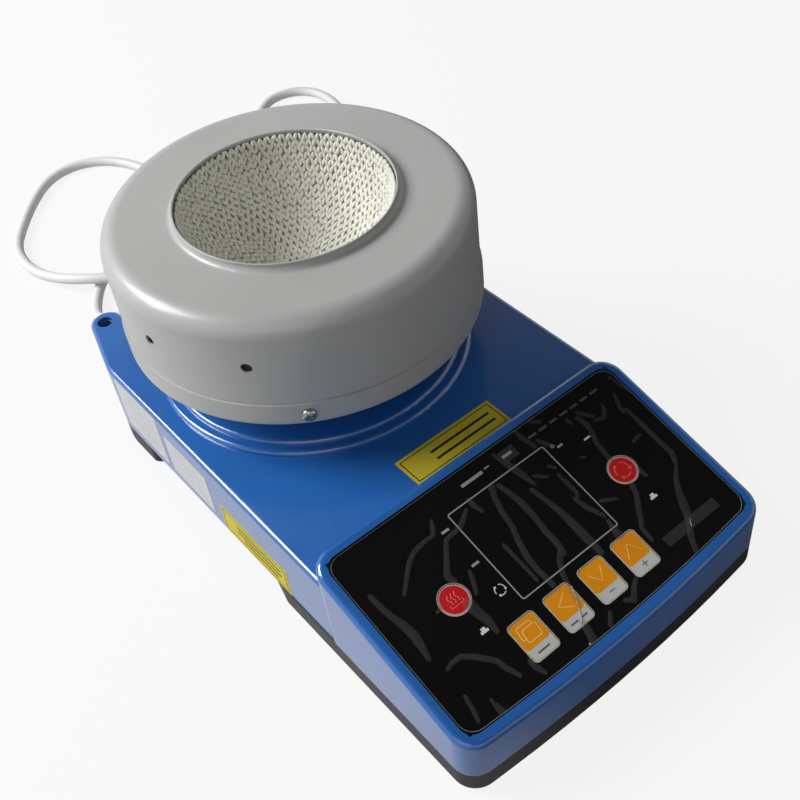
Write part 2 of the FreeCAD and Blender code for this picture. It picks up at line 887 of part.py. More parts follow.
upwards = Rotation(Vector(1, 0, 0), 180)
screw_seat = SIZES["foot_height"] + BASE_SCREW[3] + SIZES["head_sink"]
base_places = [
    Placement(Vector(side * x, y, screw_seat), upwards)
    for side in (-1, 1)
    for x, y in (
        (SIZES["post_x"], SIZES["post_y"]), (SIZES["ear_centre_x"], SIZES["ear_centre_y"])
    )
]
deck_under = SIZES["deck_height"] - SIZES["wall"]
bracket_places = [
    Placement(
        Vector(side * SIZES["bracket_screw_x"], SIZES["mantle_y"] + end * SIZES["bracket_screw_y"],
               deck_under - SIZES["bracket_thick"]), upwards)
    for side in (-1, 1) for end in (-1, 1)
]
board_places = [
    panel_place.multiply(Placement(
        Vector(side * SIZES["board_pillar_x"], end * SIZES["board_pillar_y"],
               -SIZES["board_drop"] - SIZES["board_thick"]), upwards))
    for side in (-1, 1) for end in (-1, 1)
]
bolt_seat = SIZES["mantle_bottom"] + SIZES["sheet"]
bolt_places = [
    Placement(mantle_point(SIZES["bolt_circle"], angle, bolt_seat), Rotation())
    for angle in (30, 150, 270)
]
mantle_angles = [SIZES["mantle_screw_first"] + 120 * step for step in range(3)]
mantle_places = [
    Placement(mantle_point(SIZES["band_radius"], angle, SIZES["mantle_screw_height"]),
              Rotation(Vector(0, 0, 1), outward(angle)))
    for angle in mantle_angles
]

# Tapped hole for the support rod, and the holes in the rear wall
rear = Vector(0, 1, 0)
housing_cuts = [post_trim] + holes("BaseScrewHole", BASE_SCREW, base_places)
housing_cuts += holes("BracketScrewHole", BRACKET_SCREW, bracket_places)
housing_cuts += holes("BoardScrewHole", BOARD_SCREW, board_places)
housing_cuts += holes("BoltHole", NECK_BOLT, bolt_places)
rod_bottom = SIZES["deck_height"] - SIZES["rod_hole_depth"]
rod_spot = Vector(-SIZES["rod_hole_x"], SIZES["ear_centre_y"], rod_bottom)
rod_cut = size["rod_hole_depth"] + size["cut_over"]
housing_cuts.append(cylinder("RodHole", size["rod_hole_radius"], rod_cut, rod_spot))
for name in ("gland", "fuse"):
    spot = Vector(SIZES[name + "_x"], SIZES["rear_y"] - SIZES["rear_cut"], SIZES["gland_z"])
    hole = cylinder(name.title() + "Hole", size[name + "_hole"], size["rear_cut"] * 2, spot, rear)
    housing_cuts.append(hole)
housing = cut("Housing", solid_housing, fused("HousingCuts", housing_cuts))
finish(housing, "housing_shell")

# Base tray with a finger grip along each side
tray = new_body("BaseTray")
grip_x = half_console - size["grip_depth"]
tray_side = [
    (half_console, size["grip_front_y"], size["plan_corner"] / 2),
    (grip_x, size["grip_front_y"] + size["grip_front_ramp"], size["plan_corner"]),
    (grip_x, size["grip_rear_y"] - size["grip_rear_ramp"], size["plan_corner"] / 3),
] + [(half_deck, size["grip_rear_y"], size["plan_corner"] / 3)] + deck_side(half_deck)
tray_plan = new_sketch(tray, "TrayPlan", "XY_Plane", (0, 0, size["foot_height"]))
draw_loop(tray_plan, front_corners(half_console, front_y, size["plan_corner"]) + mirrored(tray_side))
add_pad(tray, tray_plan, "TrayPad", size["base_height"])
tray_floor = size["foot_height"] + size["base_floor"]
tray_room = new_sketch(tray, "TrayRoom", "XY_Plane", (0, 0, tray_floor))
room_side = grip_x - size["wall"]
room_front = cavity_front + size["tray_room_margin"]
room_rear = cavity_rear - size["tray_room_margin"]
draw_loop(tray_room, [
    (-room_side, room_front, size["cavity_corner"]),
    (room_side, room_front, size["cavity_corner"]),
    (room_side, room_rear, size["cavity_corner"]),
    (-room_side, room_rear, size["cavity_corner"]),
])
room = add_pocket(tray, tray_room, "TrayHollow", size["base_height"], reverse=True)


def tray_lower_edge(edge):
    """Whether an edge bounds the tray's underside."""
    return all(abs(vertex.Point.z - SIZES["foot_height"]) < 0.01 for vertex in edge.Vertexes)


add_fillet(tray, room, "TrayEdge", size["base_edge"], tray_lower_edge)
tray_cuts = holes("TrayScrewHole", BASE_SCREW, base_places)
feet_spots = [
    Vector(side * SIZES["foot_x"], y, 0)
    for side in (-1, 1) for y in (SIZES["foot_front_y"], SIZES["foot_rear_y"])
]
for place in base_places:
    spot = Vector(place.Base.x, place.Base.y, SIZES["foot_height"] - SIZES["cut_over"])
    depth = as_size(screw_seat) - size["foot_height"] + size["cut_over"]
    tray_cuts.append(cylinder("HeadRecess", size["head_play"] + BASE_SCREW[2], depth, spot))
for spot in feet_spots:
    stem_spot = spot + Vector(0, 0, SIZES["foot_height"] - SIZES["cut_over"])
    stem_cut = size["foot_stem_height"] + size["cut_over"]
    tray_cuts.append(cylinder("FootHole", size["foot_stem_radius"], stem_cut, stem_spot))
finish(cut("Tray", tray, fused("TrayCuts", tray_cuts)), "base_tray")


def rubber_foot(spot):
    """A round rubber foot with the stem that is pushed into the tray."""
    top = SIZES["foot_height"]
    disc = Part.makeCylinder(SIZES["foot_radius"], top, spot)
    low = [edge for edge in disc.Edges if edge.Curve.TypeId == "Part::GeomCircle"
           and abs(edge.Curve.Center.z) < 0.01]
    disc = disc.makeFillet(SIZES["foot_edge"], low)
    stem = Part.makeCylinder(
        SIZES["foot_stem_radius"], SIZES["foot_stem_height"], spot + Vector(0, 0, top)
    )
    return disc.fuse(stem).removeSplitter()


feature("Feet", Part.makeCompound([rubber_foot(spot) for spot in feet_spots]), "rubber_feet")
screw_group("BaseScrews", "base_screws", BASE_SCREW, base_places)

# Membrane panel, its film, and the keys that travel in it
overlay_bottom = -size["recess_depth"]
overlay_top = overlay_bottom + size["overlay_thick"]
key_top = overlay_top - size["key_drop"]


def key_corners(spot, gap):
    """The outline of a rectangular key, grown by a gap."""
    width = size["key_width"] + gap * 2
    length = size["key_length"] + gap * 2
    return rectangle(spot[0], spot[1], width, length, size["key_round"] + gap)


key_windows = [key_corners(spot, size["key_gap"]) for spot in key_spots]
key_windows += [
    [(spot[0], spot[1], size["round_key_radius"] + size["key_gap"])] for spot in round_spots
]
panel_body(
    "Overlay", [panel_outline(size["panel_gap"])] + key_windows, overlay_bottom, size["overlay_thick"],
    "panel_overlay",
)
panel_body(
    "Film", [panel_outline(size["panel_gap"] * 3)], overlay_top, size["film_thick"], "protective_film"
)


def key_body(name, corners, spot, label):
    """A key pad with the stem that reaches its switch."""
    body = panel_body(name, [corners], key_top - size["key_thick"], size["key_thick"])
    sketch = new_sketch(body, name + "StemPlan", "XY_Plane", (0, 0, key_top - size["key_thick"]))
    draw_circle(sketch, spot[0], spot[1], size["stem_radius"])
    add_pad(body, sketch, name + "Stem", size["stem_length"], downwards=True)
    finish(body, label)


for label, spot in zip(key_names, key_spots):
    key_body("Key" + label.split("_")[0], key_corners(spot, as_size(0.0)), spot, label)
for label, spot in zip(round_names, round_spots):
    key_body("Key" + label.split("_")[0], [(spot[0], spot[1], size["round_key_radius"])], spot, label)

# Board with display and key switches, hung under the panel's floor
board_top = -size["board_drop"]
board = panel_body(
    "ControlBoard",
    [rectangle(as_size(0), as_size(0), size["board_width"], size["board_length"], size["key_round"])],
    board_top - size["board_thick"], size["board_thick"],
)
board_cut = cut("DrilledBoard", board, fused("BoardHoles", holes("BoardHole", BOARD_SCREW, board_places)))
finish(board_cut, "control_board")
display_height = size["board_drop"] - size["recess_depth"] - size["display_gap"]
display_loop = rectangle(as_size(0), size["window_y"], size["display_width"], size["display_length"])
panel_body("Display", [display_loop], board_top, display_height, "display_module")
screw_group("BoardScrews", "board_screws", BOARD_SCREW, board_places)


def key_switch(spot):
    """A square key switch with a round plunger on the board."""
    x, y = spot[0].number, spot[1].number
    width = SIZES["switch_width"]
    bottom = -SIZES["board_drop"]
    case = Part.makeBox(width, width, SIZES["switch_height"], Vector(x - width / 2, y - width / 2, bottom))
    plunger = Part.makeCylinder(
        SIZES["plunger_radius"], SIZES["plunger_height"], Vector(x, y, bottom + SIZES["switch_height"])
    )
    solid = case.fuse(plunger).removeSplitter()
    solid.Placement = panel_place
    return solid


switches = Part.makeCompound([key_switch(spot) for spot in key_spots + round_spots])
feature("KeySwitches", switches, "key_switches")

# Mantle: sheet steel shell with turned-up collar, and the band that closes it from below
sheet_thick = size["sheet"]
shell_outer = size["band_radius"] - sheet_thick
shell_inner = shell_outer - sheet_thick
collar_top = size["mantle_top"] + size["collar_height"]
collar_outer = size["opening_radius"] + sheet_thick
shell_form = turned_body("MantleShellForm", [
    (shell_inner, size["skirt_bottom"]),
    (shell_outer, size["skirt_bottom"]),
    (shell_outer, size["mantle_top"], size["mantle_round"]),
    (collar_outer, size["mantle_top"], size["collar_foot"]),
    (collar_outer, collar_top, size["collar_edge"]),
    (size["opening_radius"], collar_top, size["collar_edge"]),
    (size["opening_radius"], size["mantle_top"] - sheet_thick, size["collar_foot"] + sheet_thick),
    (shell_inner, size["mantle_top"] - sheet_thick, size["mantle_round"] - sheet_thick),
])
vent_angles = [SIZES["vent_first"], SIZES["vent_second"]]
vent_angles += [angle + 180 for angle in vent_angles]
shell_cuts = [
    cylinder("Vent", size["vent_radius"], size["vent_cut"],
             mantle_point(SIZES["band_radius"] - SIZES["vent_depth"], angle, SIZES["vent_height"]),
             outward(angle))
    for angle in vent_angles
]
shell_cuts += holes("ShellScrewHole", PAN_SCREW, mantle_places)
finish(cut("MantleShell", shell_form, fused("ShellCuts", shell_cuts)), "mantle_shell")

band_form = turned_body("MantleBandForm", [
    (0, size["mantle_bottom"]),
    (size["band_radius"], size["mantle_bottom"], size["band_edge"]),
    (size["band_radius"], size["mantle_bottom"] + size["band_height"]),
    (shell_outer, size["mantle_bottom"] + size["band_height"]),
    (shell_outer, size["mantle_bottom"] + sheet_thick, size["band_edge"] - sheet_thick),
    (0, size["mantle_bottom"] + sheet_thick),
])
band_cuts = holes("BandScrewHole", PAN_SCREW, mantle_places) + holes("BandBoltHole", NECK_BOLT, bolt_places)
finish(cut("MantleBand", band_form, fused("BandCuts", band_cuts)), "mantle_base")
screw_group("MantleScrews", "mantle_screws", PAN_SCREW, mantle_places)
screw_group("NeckBolts", "neck_bolts", NECK_BOLT, bolt_places)

# Woven bowl: a round cup with a flat rim held under the shell
axis_foot = Vector(0, SIZES["mantle_y"], 0)


def ball(name, radius):
    """A sphere about the middle of the bowl."""
    item = doc.addObject("Part::Sphere", name)
    bind(item, "Radius", radius)
    item.Placement = Placement(axis_foot + Vector(0, 0, SIZES["bowl_centre"]), Rotation())
    return item


def disc(name, radius, bottom, height):
    """A disc about the mantle's axis."""
    return cylinder(name, radius, height, axis_foot + Vector(0, 0, as_size(bottom).number))


cup_wall = cut("CupWall", ball("CupOuter", size["bowl_radius"] + size["cloth"]),
               ball("CupInner", size["bowl_radius"]))
cup_height = size["rim_height"] - size["mantle_bottom"]
cup_zone = disc("CupZone", size["flange_radius"], size["mantle_bottom"], cup_height)
cup = doc.addObject("Part::Common", "Cup")
cup.Base = cup_wall
cup.Tool = cup_zone
flange = cut(
    "Flange", disc("FlangeDisc", size["flange_radius"], size["rim_height"], size["flange_thick"]),
    disc("FlangeHole", size["rim_radius"], size["rim_height"] - size["cut_over"],
         size["flange_thick"] + size["cut_over"] * 2),
)
finish(fused("BowlLiner", [cup, flange]), "bowl_liner")

# Heating wire laid in rings round the outside of the bowl
element_radius = SIZES["element_thick"] / 2
element_path = SIZES["bowl_radius"] + SIZES["cloth"] + SIZES["element_gap"] + element_radius
element_rings = []
for step in range(ELEMENT_RINGS):
    polar = math.radians(SIZES["element_first"] + SIZES["element_step"] * step)
    middle = axis_foot + Vector(0, 0, SIZES["bowl_centre"] - element_path * math.cos(polar))
    element_rings.append(Part.makeTorus(element_path * math.sin(polar), element_radius, middle))
feature("HeatingElement", Part.makeCompound(element_rings), "heating_element")

# Ceramic fibre packing between the bowl and the shell
packing_radius = shell_inner - size["insulation_gap"]
packing = turned_body("PackingForm", [
    (0, size["mantle_bottom"] + sheet_thick),
    (packing_radius, size["mantle_bottom"] + sheet_thick, size["band_edge"]),
    (packing_radius, size["rim_height"], size["mantle_round"]),
    (0, size["rim_height"]),
])
element_room = size["cloth"] + size["element_thick"] + size["element_play"]
packing_cuts = [ball("PackingBowl", size["bowl_radius"] + element_room)]
for place in bolt_places:
    packing_cuts.append(cylinder("BoltPocket", size["bolt_pocket"], size["bolt_pocket_height"], place.Base))
terminal_foot = mantle_point(SIZES["terminal_radius"], 90, SIZES["mantle_bottom"] + SIZES["sheet"])
pocket_sides = [size["terminal_" + axis] + size["terminal_play"] for axis in "xyz"]
packing_cuts.append(box("TerminalPocket", *pocket_sides, terminal_foot))
screw_tip = shell_inner.number - PAN_SCREW[1]
for angle in mantle_angles:
    base = mantle_point(screw_tip, angle, SIZES["mantle_screw_height"])
    packing_cuts.append(
        cylinder("ScrewPocket", size["screw_pocket"], size["screw_pocket_length"], base, outward(angle))
    )
sensor_foot = axis_foot + Vector(0, 0, SIZES["mantle_bottom"] + SIZES["sheet"])
sensor_top = SIZES["bowl_centre"] - SIZES["bowl_radius"] - SIZES["cloth"] - SIZES["element_gap"]
sensor_length = as_size(sensor_top - sensor_foot.z)
sensor_cut = sensor_length + size["sensor_pocket_over"]
packing_cuts.append(cylinder("SensorPocket", size["sensor_radius"], sensor_cut, sensor_foot))
finish(cut("Packing", packing, fused("PackingCuts", packing_cuts)), "insulation")
finish(cylinder("Sensor", size["sensor_radius"], sensor_length, sensor_foot), "temperature_sensor")
terminal_sides = [size["terminal_" + axis] for axis in "xyz"]
terminal_block = box("TerminalBlock", *terminal_sides, terminal_foot)
terminal_bores = [
    cylinder("TerminalBore", size["terminal_bore"], size["terminal_y"] + size["cut_over"] * 2,
             terminal_foot + Vector(side * SIZES["terminal_bore_x"],
                                    -SIZES["terminal_y"] / 2 - SIZES["cut_over"],
                                    SIZES["terminal_z"] / 2), rear)
    for side in (-1, 1)
]
finish(cut("Terminal", terminal_block, fused("TerminalBores", terminal_bores)), "heater_terminal")

# Stirring drive on the mantle's axis
bracket_top = as_size(deck_under)
bracket_bottom = bracket_top - size["bracket_thick"]
bracket_plate = box("BracketPlate", size["bracket_x"], size["bracket_y"], size["bracket_thick"],
                    axis_foot + Vector(0, 0, bracket_bottom.number))
bracket_cuts = holes("BracketHole", BRACKET_SCREW, bracket_places)
bracket_cuts.append(disc("BracketBore", size["motor_boss_radius"], bracket_bottom - size["cut_over"],
                         size["bracket_thick"] + size["cut_over"] * 2))
finish(cut("Bracket", bracket_plate, fused("BracketCuts", bracket_cuts)), "motor_bracket")
screw_group("BracketScrews", "bracket_screws", BRACKET_SCREW, bracket_places)

motor_bottom = bracket_bottom - size["motor_height"]
motor = new_body("Motor")
motor_profile = new_sketch(motor, "MotorProfile", "XZ_Plane", (0, 0, -size["mantle_y"]))
bore = size["shaft_radius"] + size["shaft_play"]
boss_end = bracket_bottom + size["motor_boss_height"]
bore_end = size["shaft_bottom"] - size["shaft_end_gap"]
draw_loop(motor_profile, [
    (0, motor_bottom),
    (size["motor_radius"], motor_bottom, size["boss_edge"]),
    (size["motor_radius"], bracket_bottom, size["boss_edge"]),
    (size["motor_boss_radius"], bracket_bottom),
    (size["motor_boss_radius"], boss_end),
    (bore, boss_end),
    (bore, bore_end),
    (0, bore_end),
])
add_revolution(motor, motor_profile, "MotorTurn")
finish(motor, "stir_motor")
shaft_length = size["shaft_top"] - size["shaft_bottom"]
finish(disc("Shaft", size["shaft_radius"], size["shaft_bottom"], shaft_length), "motor_shaft")

carrier_bottom = size["shaft_top"] - size["carrier_thick"]
turned_body("Carrier", [
    (size["shaft_radius"], carrier_bottom - size["carrier_hub_height"]),
    (size["carrier_hub_radius"], carrier_bottom - size["carrier_hub_height"]),
    (size["carrier_hub_radius"], carrier_bottom),
    (size["carrier_radius"], carrier_bottom, size["small_edge"]),
    (size["carrier_radius"], size["shaft_top"], size["small_edge"]),
    (size["shaft_radius"], size["shaft_top"]),
], "magnet_carrier")
magnets = Part.makeCompound([
    Part.makeCylinder(
        SIZES["magnet_radius"], SIZES["magnet_height"],
        mantle_point(SIZES["magnet_offset"], angle, SIZES["shaft_top"]),
    )
    for angle in (0, 180)
])
feature("Magnets", magnets, "drive_magnets")

# Power parts on the tray floor
floor_z = tray_floor.number
core_foot = Vector(SIZES["transformer_x"], SIZES["transformer_y"], floor_z)
core = box("Core", size["core_x"], size["core_y"], size["core_z"], core_foot)
bobbin_foot = core_foot + Vector(0, 0, (SIZES["core_z"] - SIZES["bobbin_z"]) / 2)
bobbin = box("Bobbin", size["bobbin_x"], size["bobbin_y"], size["bobbin_z"], bobbin_foot)
finish(fused("Transformer", [core, bobbin]), "supply_transformer")

board_foot = Vector(SIZES["power_board_x"], SIZES["power_board_y"], floor_z)
plate_foot = board_foot + Vector(0, 0, SIZES["standoff_height"])
power_items = [box("PowerPlate", size["power_board_width"], size["power_board_length"],
                   size["board_thick"], plate_foot)]
parts_foot = plate_foot + Vector(0, 0, SIZES["board_thick"])
stand_x = SIZES["power_board_width"] / 2 - SIZES["standoff_inset"]
stand_y = SIZES["power_board_length"] / 2 - SIZES["standoff_inset"]
for side in (-1, 1):
    for end in (-1, 1):
        spot = board_foot + Vector(side * stand_x, end * stand_y, 0)
        power_items.append(cylinder("Standoff", size["standoff_radius"], size["standoff_height"], spot))
for step in range(CAPACITORS):
    x = SIZES["capacitor_first_x"] + step * SIZES["capacitor_pitch"]
    power_items.append(cylinder("Capacitor", size["capacitor_radius"], size["capacitor_height"],
                                parts_foot + Vector(x, SIZES["capacitor_y"], 0)))
power_items.append(box("Relay", size["relay_x"], size["relay_y"], size["relay_z"],
                       parts_foot + Vector(SIZES["relay_middle_x"], SIZES["relay_middle_y"], 0)))
finish(fused("PowerBoard", power_items), "power_board")
sink_foot = parts_foot + Vector(SIZES["heatsink_middle_x"], 0, 0)
sink_block = box("SinkBlock", size["heatsink_x"], size["heatsink_y"], size["heatsink_z"], sink_foot)
sink_slots = []
slot_y = (SIZES["heatsink_y"] - SIZES["fin_depth"] + SIZES["cut_over"]) / 2
for step in range(FIN_SLOTS):
    x = -SIZES["heatsink_x"] / 2 + SIZES["fin_gap"] * (2 * step + 1.5)
    slot_foot = sink_foot + Vector(x, slot_y, -SIZES["cut_over"])
    sink_slots.append(box("SinkSlot", size["fin_gap"], size["fin_depth"] + size["cut_over"],
                          size["heatsink_z"] + size["cut_over"] * 2, slot_foot))
finish(cut("HeatSink", sink_block, fused("SinkSlots", sink_slots)), "triac_heatsink")


def rear_turned(name, x, profile, label):
    """A body turned about an axis that leaves the rear wall, from radii and depths behind it."""
    body = new_body(name)
    sketch = new_sketch(body, name + "Profile", "XY_Plane", (x, size["rear_y"], size["gland_z"]))
    draw_loop(sketch, profile)
    add_revolution(body, sketch, name + "Turn")
    return finish(body, label)


# Fuse holder and cord gland in the rear wall
rear_turned("FuseHolder", size["fuse_x"], [
    (0, -size["fuse_tail"]),
    (size["fuse_hole"], -size["fuse_tail"]),
    (size["fuse_hole"], 0),
    (size["fuse_cap"], 0),
    (size["fuse_cap"], size["fuse_cap_length"], size["small_edge"]),
    (0, size["fuse_cap_length"]),
], "fuse_holder")
rear_turned("Gland", size["gland_x"], [
    (0, -size["gland_tail"]),
    (size["gland_hole"], -size["gland_tail"]),
    (size["gland_hole"], 0),
    (size["gland_flange"], 0),
    (size["gland_flange"], size["gland_flange_thick"], size["small_edge"]),
    (size["gland_hole"], size["gland_flange_thick"]),
    (size["gland_tip"], size["gland_length"]),
    (0, size["gland_length"]),
], "cord_gland")


# Mains cord: straight runs joined by tangent arcs, a coil, and a tail with the plug
def cord_path(route, label):
    """The wire of a route and its length, with its radii printed."""
    spots = [Vector(*point) for point in route]
    edges = []
    radii = []
    start = spots[0]
    for before, corner, after in zip(spots, spots[1:], spots[2:]):
        shorter = min((corner - before).Length, (after - corner).Length)
        turn = (corner - before).getAngle(after - corner)
        reach = CORNER_SHARE * shorter
        back = corner + (before - corner).normalize() * reach
        ahead = corner + (after - corner).normalize() * reach
        radius = reach / math.tan(turn / 2)
        radii.append(round(radius))
        inward = ((before - corner).normalize() + (after - corner).normalize()).normalize()
        middle = corner + inward * (radius / math.cos(turn / 2) - radius)
        edges.append(Part.LineSegment(start, back).toShape())
        edges.append(Part.Arc(back, middle, ahead).toShape())
        start = ahead
    edges.append(Part.LineSegment(start, spots[-1]).toShape())
    wire = Part.Wire(edges)
    print(label, "length", round(wire.Length), "radii", radii)
    return wire


def cord_tube(name, route, label):
    """A round tube along a route."""
    wire = cord_path(route, label)
    direction = Vector(*route[1]) - Vector(*route[0])
    circle = Part.Circle(Vector(*route[0]), direction, SIZES["cord_radius"])
    tube = wire.makePipeShell([Part.Wire(circle.toShape())], True, True)
    section = math.pi * SIZES["cord_radius"] ** 2
    if abs(tube.Volume / (section * wire.Length) - 1) > 0.01:
        raise ValueError(label + " has the wrong volume")
    return feature(name, tube, label)


cord_tube("Cord", CORD_ROUTE, "mains_cord")
cord_tube("CordTail", TAIL_ROUTE, "cord_tail")
coil = new_body("Coil")
coil_sketch = new_sketch(coil, "CoilProfile", "XZ_Plane")
coil_thick = size["cord_radius"] * 2 + size["coil_play"]
draw_loop(coil_sketch, rectangle(
    size["coil_radius"], size["coil_height"] / 2, coil_thick, size["coil_height"], size["cord_radius"]
))
add_revolution(coil, coil_sketch, "CoilTurn")
coil.Placement.Base = Vector(SIZES["coil_x"], SIZES["coil_y"], 0)
finish(coil, "cord_coil")

# Plug with three flat blades, lying on its side at the end of the tail
plug = new_body("Plug")
plug_sections = []
plug_ends = (("Face", 0, size["plug_face"]), ("Neck", -size["plug_length"], size["plug_neck"]))
for label, depth, width in plug_ends:
    section = new_sketch(plug, "Plug" + label, "XY_Plane", (0, 0, depth))
    radius = size["plug_round"] if label == "Face" else size["plug_round"] / 2
    draw_loop(section, rectangle(as_size(0), as_size(0), width, width, radius))
    plug_sections.append(section)
loft = plug.newObject("PartDesign::AdditiveLoft", "PlugLoft")
loft.Profile = plug_sections[0]
loft.Sections = [plug_sections[1]]
relief_sketch = new_sketch(plug, "PlugReliefPlan", "XY_Plane", (0, 0, -size["plug_length"]))
draw_circle(relief_sketch, 0, 0, size["plug_neck"] / 2 - size["relief_step"])
add_pad(plug, relief_sketch, "PlugRelief", size["plug_relief"], downwards=True)
tail_end = Vector(*TAIL_ROUTE[-1])
plug_heading = (tail_end - Vector(*TAIL_ROUTE[-2])).normalize()
plug_place = Placement(
    tail_end + plug_heading * (SIZES["plug_length"] + SIZES["plug_relief"]),
    Rotation(plug_heading.cross(Vector(0, 0, 1)), Vector(0, 0, 1), plug_heading, "ZYX"),
)
plug.Placement = plug_place
finish(plug, "mains_plug")


def blade(angle, turn):
    """A flat blade about the plug's axis, turned in its own plane."""
    width = SIZES["blade_width"]
    solid = Part.makeBox(width, SIZES["blade_thick"], SIZES["blade_length"],
                         Vector(-width / 2, -SIZES["blade_thick"] / 2, 0))
    solid.rotate(Vector(0, 0, 0), Vector(0, 0, 1), turn)
    spoke = Vector(math.cos(math.radians(angle)), math.sin(math.radians(angle)), 0)
    solid.translate(spoke * SIZES["blade_radius"])
    solid.Placement = plug_place.multiply(solid.Placement)
    return solid


blades = Part.makeCompound([blade(angle, turn) for angle, turn in BLADES])
feature("PlugBlades", blades, "plug_blades")

doc.recompute()
for item in doc.Objects:
    if "Invalid" in item.State or "Error" in item.State:
        raise ValueError(item.Name + " failed: " + str(item.State))
    if item.TypeId in ("PartDesign::Pocket", "PartDesign::Groove"):
        if item.Shape.Volume > item.BaseFeature.Shape.Volume - 1:
            raise ValueError(item.Name + " cuts nothing")
for item in parts:
    if item.Shape.isNull() or not item.Shape.isValid():
        raise ValueError(item.Label + " is not valid")
os.makedirs("parts", exist_ok=True)
for item in parts:
    item.Shape.exportStep("parts/" + item.Label + ".step")
print(len(parts), "parts")
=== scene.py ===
"""Looks of a laboratory magnetic stirrer with a round heating mantle on its rear deck."""

import json
import logging
import math
import random
from dataclasses import dataclass
from enum import Enum
from typing import Callable, Iterable, Sequence

import bpy
from mathutils import Matrix, Vector

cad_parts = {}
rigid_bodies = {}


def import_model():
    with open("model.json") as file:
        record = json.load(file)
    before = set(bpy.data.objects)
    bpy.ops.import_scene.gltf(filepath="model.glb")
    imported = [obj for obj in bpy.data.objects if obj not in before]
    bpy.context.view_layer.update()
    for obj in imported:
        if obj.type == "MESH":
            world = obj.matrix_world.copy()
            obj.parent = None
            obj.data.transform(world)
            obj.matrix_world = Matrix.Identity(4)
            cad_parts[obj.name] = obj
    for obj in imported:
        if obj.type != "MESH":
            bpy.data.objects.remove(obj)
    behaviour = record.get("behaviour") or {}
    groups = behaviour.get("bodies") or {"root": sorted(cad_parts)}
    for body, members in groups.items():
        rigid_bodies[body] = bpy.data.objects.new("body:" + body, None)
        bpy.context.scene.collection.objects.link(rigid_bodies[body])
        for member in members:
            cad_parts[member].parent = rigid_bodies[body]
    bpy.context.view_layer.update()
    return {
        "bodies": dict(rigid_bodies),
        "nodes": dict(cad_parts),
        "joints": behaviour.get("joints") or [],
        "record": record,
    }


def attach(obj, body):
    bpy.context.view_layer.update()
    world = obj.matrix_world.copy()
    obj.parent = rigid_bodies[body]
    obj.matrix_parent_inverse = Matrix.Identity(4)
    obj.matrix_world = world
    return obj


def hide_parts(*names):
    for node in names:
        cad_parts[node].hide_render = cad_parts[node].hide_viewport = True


MM = 0.001
Point2 = tuple[float, float]
Point3 = tuple[float, float, float]
Four = tuple[float, float, float, float]
Rgb = tuple[int, int, int]
Piece = bpy.types.Object
Socket = bpy.types.NodeSocket
Tree = bpy.types.NodeTree
Materials = dict[str, bpy.types.Material]
CORNER_STEPS = 5
ARROW_ARCS = ((190, 108), (72, -32), (308, 218))
ARROW_BARB = 20
log = logging.getLogger("stirrer")


# Steps that many pieces share

def deselect() -> None:
    """Leaves nothing selected."""
    bpy.ops.object.select_all(action="DESELECT")


def activate(piece: Piece) -> None:
    """Makes one piece the only one that an operator acts on."""
    deselect()
    piece.select_set(True)
    bpy.context.view_layer.objects.active = piece


def apply_modifier(piece: Piece, kind: str, **settings: object) -> None:
    """Adds a modifier, sets it and applies it.

    Args:
        piece: The piece to change.
        kind: The modifier's type, such as "SOLIDIFY".
        **settings: Values for the modifier's own properties.
    """
    modifier = piece.modifiers.new(kind.title(), kind)
    for name, value in settings.items():
        setattr(modifier, name, value)
    activate(piece)
    bpy.ops.object.modifier_apply(modifier=modifier.name)


def place(piece: Piece, matrix: Matrix) -> Piece:
    """Moves a piece by a matrix and writes the move into its mesh.

    Args:
        piece: The piece, modelled about the world's origin.
        matrix: Where it goes.

    Returns:
        The same piece, with its object back at the origin.
    """
    piece.matrix_world = matrix @ piece.matrix_world
    activate(piece)
    bpy.ops.object.transform_apply(location=True, rotation=True, scale=True)
    return piece


def joined(pieces: Sequence[Piece]) -> Piece:
    """Several mesh pieces as one."""
    activate(pieces[0])
    for piece in pieces[1:]:
        piece.select_set(True)
    bpy.ops.object.join()
    return bpy.context.view_layer.objects.active


def tidy_normals(piece: Piece) -> None:
    """Merges doubles and turns all faces outwards."""
    activate(piece)
    bpy.ops.object.mode_set(mode="EDIT")
    bpy.ops.mesh.select_all(action="SELECT")
    bpy.ops.mesh.remove_doubles(threshold=1e-6)
    bpy.ops.mesh.normals_make_consistent(inside=False)
    bpy.ops.object.mode_set(mode="OBJECT")


def smooth(piece: Piece, degrees: float = 35.0) -> None:
    """Shades a piece smooth, with a crease at each edge sharper than the angle."""
    activate(piece)
    bpy.ops.object.shade_smooth_by_angle(angle=math.radians(degrees))


def select_vertices(piece: Piece, test: Callable[[bpy.types.MeshVertex], bool]) -> None:
    """Selects the vertices that pass a test and nothing else, in object mode."""
    mesh = piece.data
    for group in (mesh.vertices, mesh.edges, mesh.polygons):
        group.foreach_set("select", [False] * len(group))
    for vertex in mesh.vertices:
        vertex.select = test(vertex)


def complete(
    piece: Piece, name: str, material: bpy.types.Material, body: str = "base"
) -> Piece:
    """Names a finished piece, dresses it and lets it ride on its body.

    Args:
        piece: The finished piece.
        name: Its name.
        material: Its finish.
        body: The body that carries it.

    Returns:
        The piece.
    """
    piece.name = name
    piece.data.name = name
    piece.data.materials.clear()
    piece.data.materials.append(material)
    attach(piece, body)
    log.info("%s: %d faces on %s", name, len(getattr(piece.data, "polygons", [])), body)
    return piece


# Flat shapes for print and labels

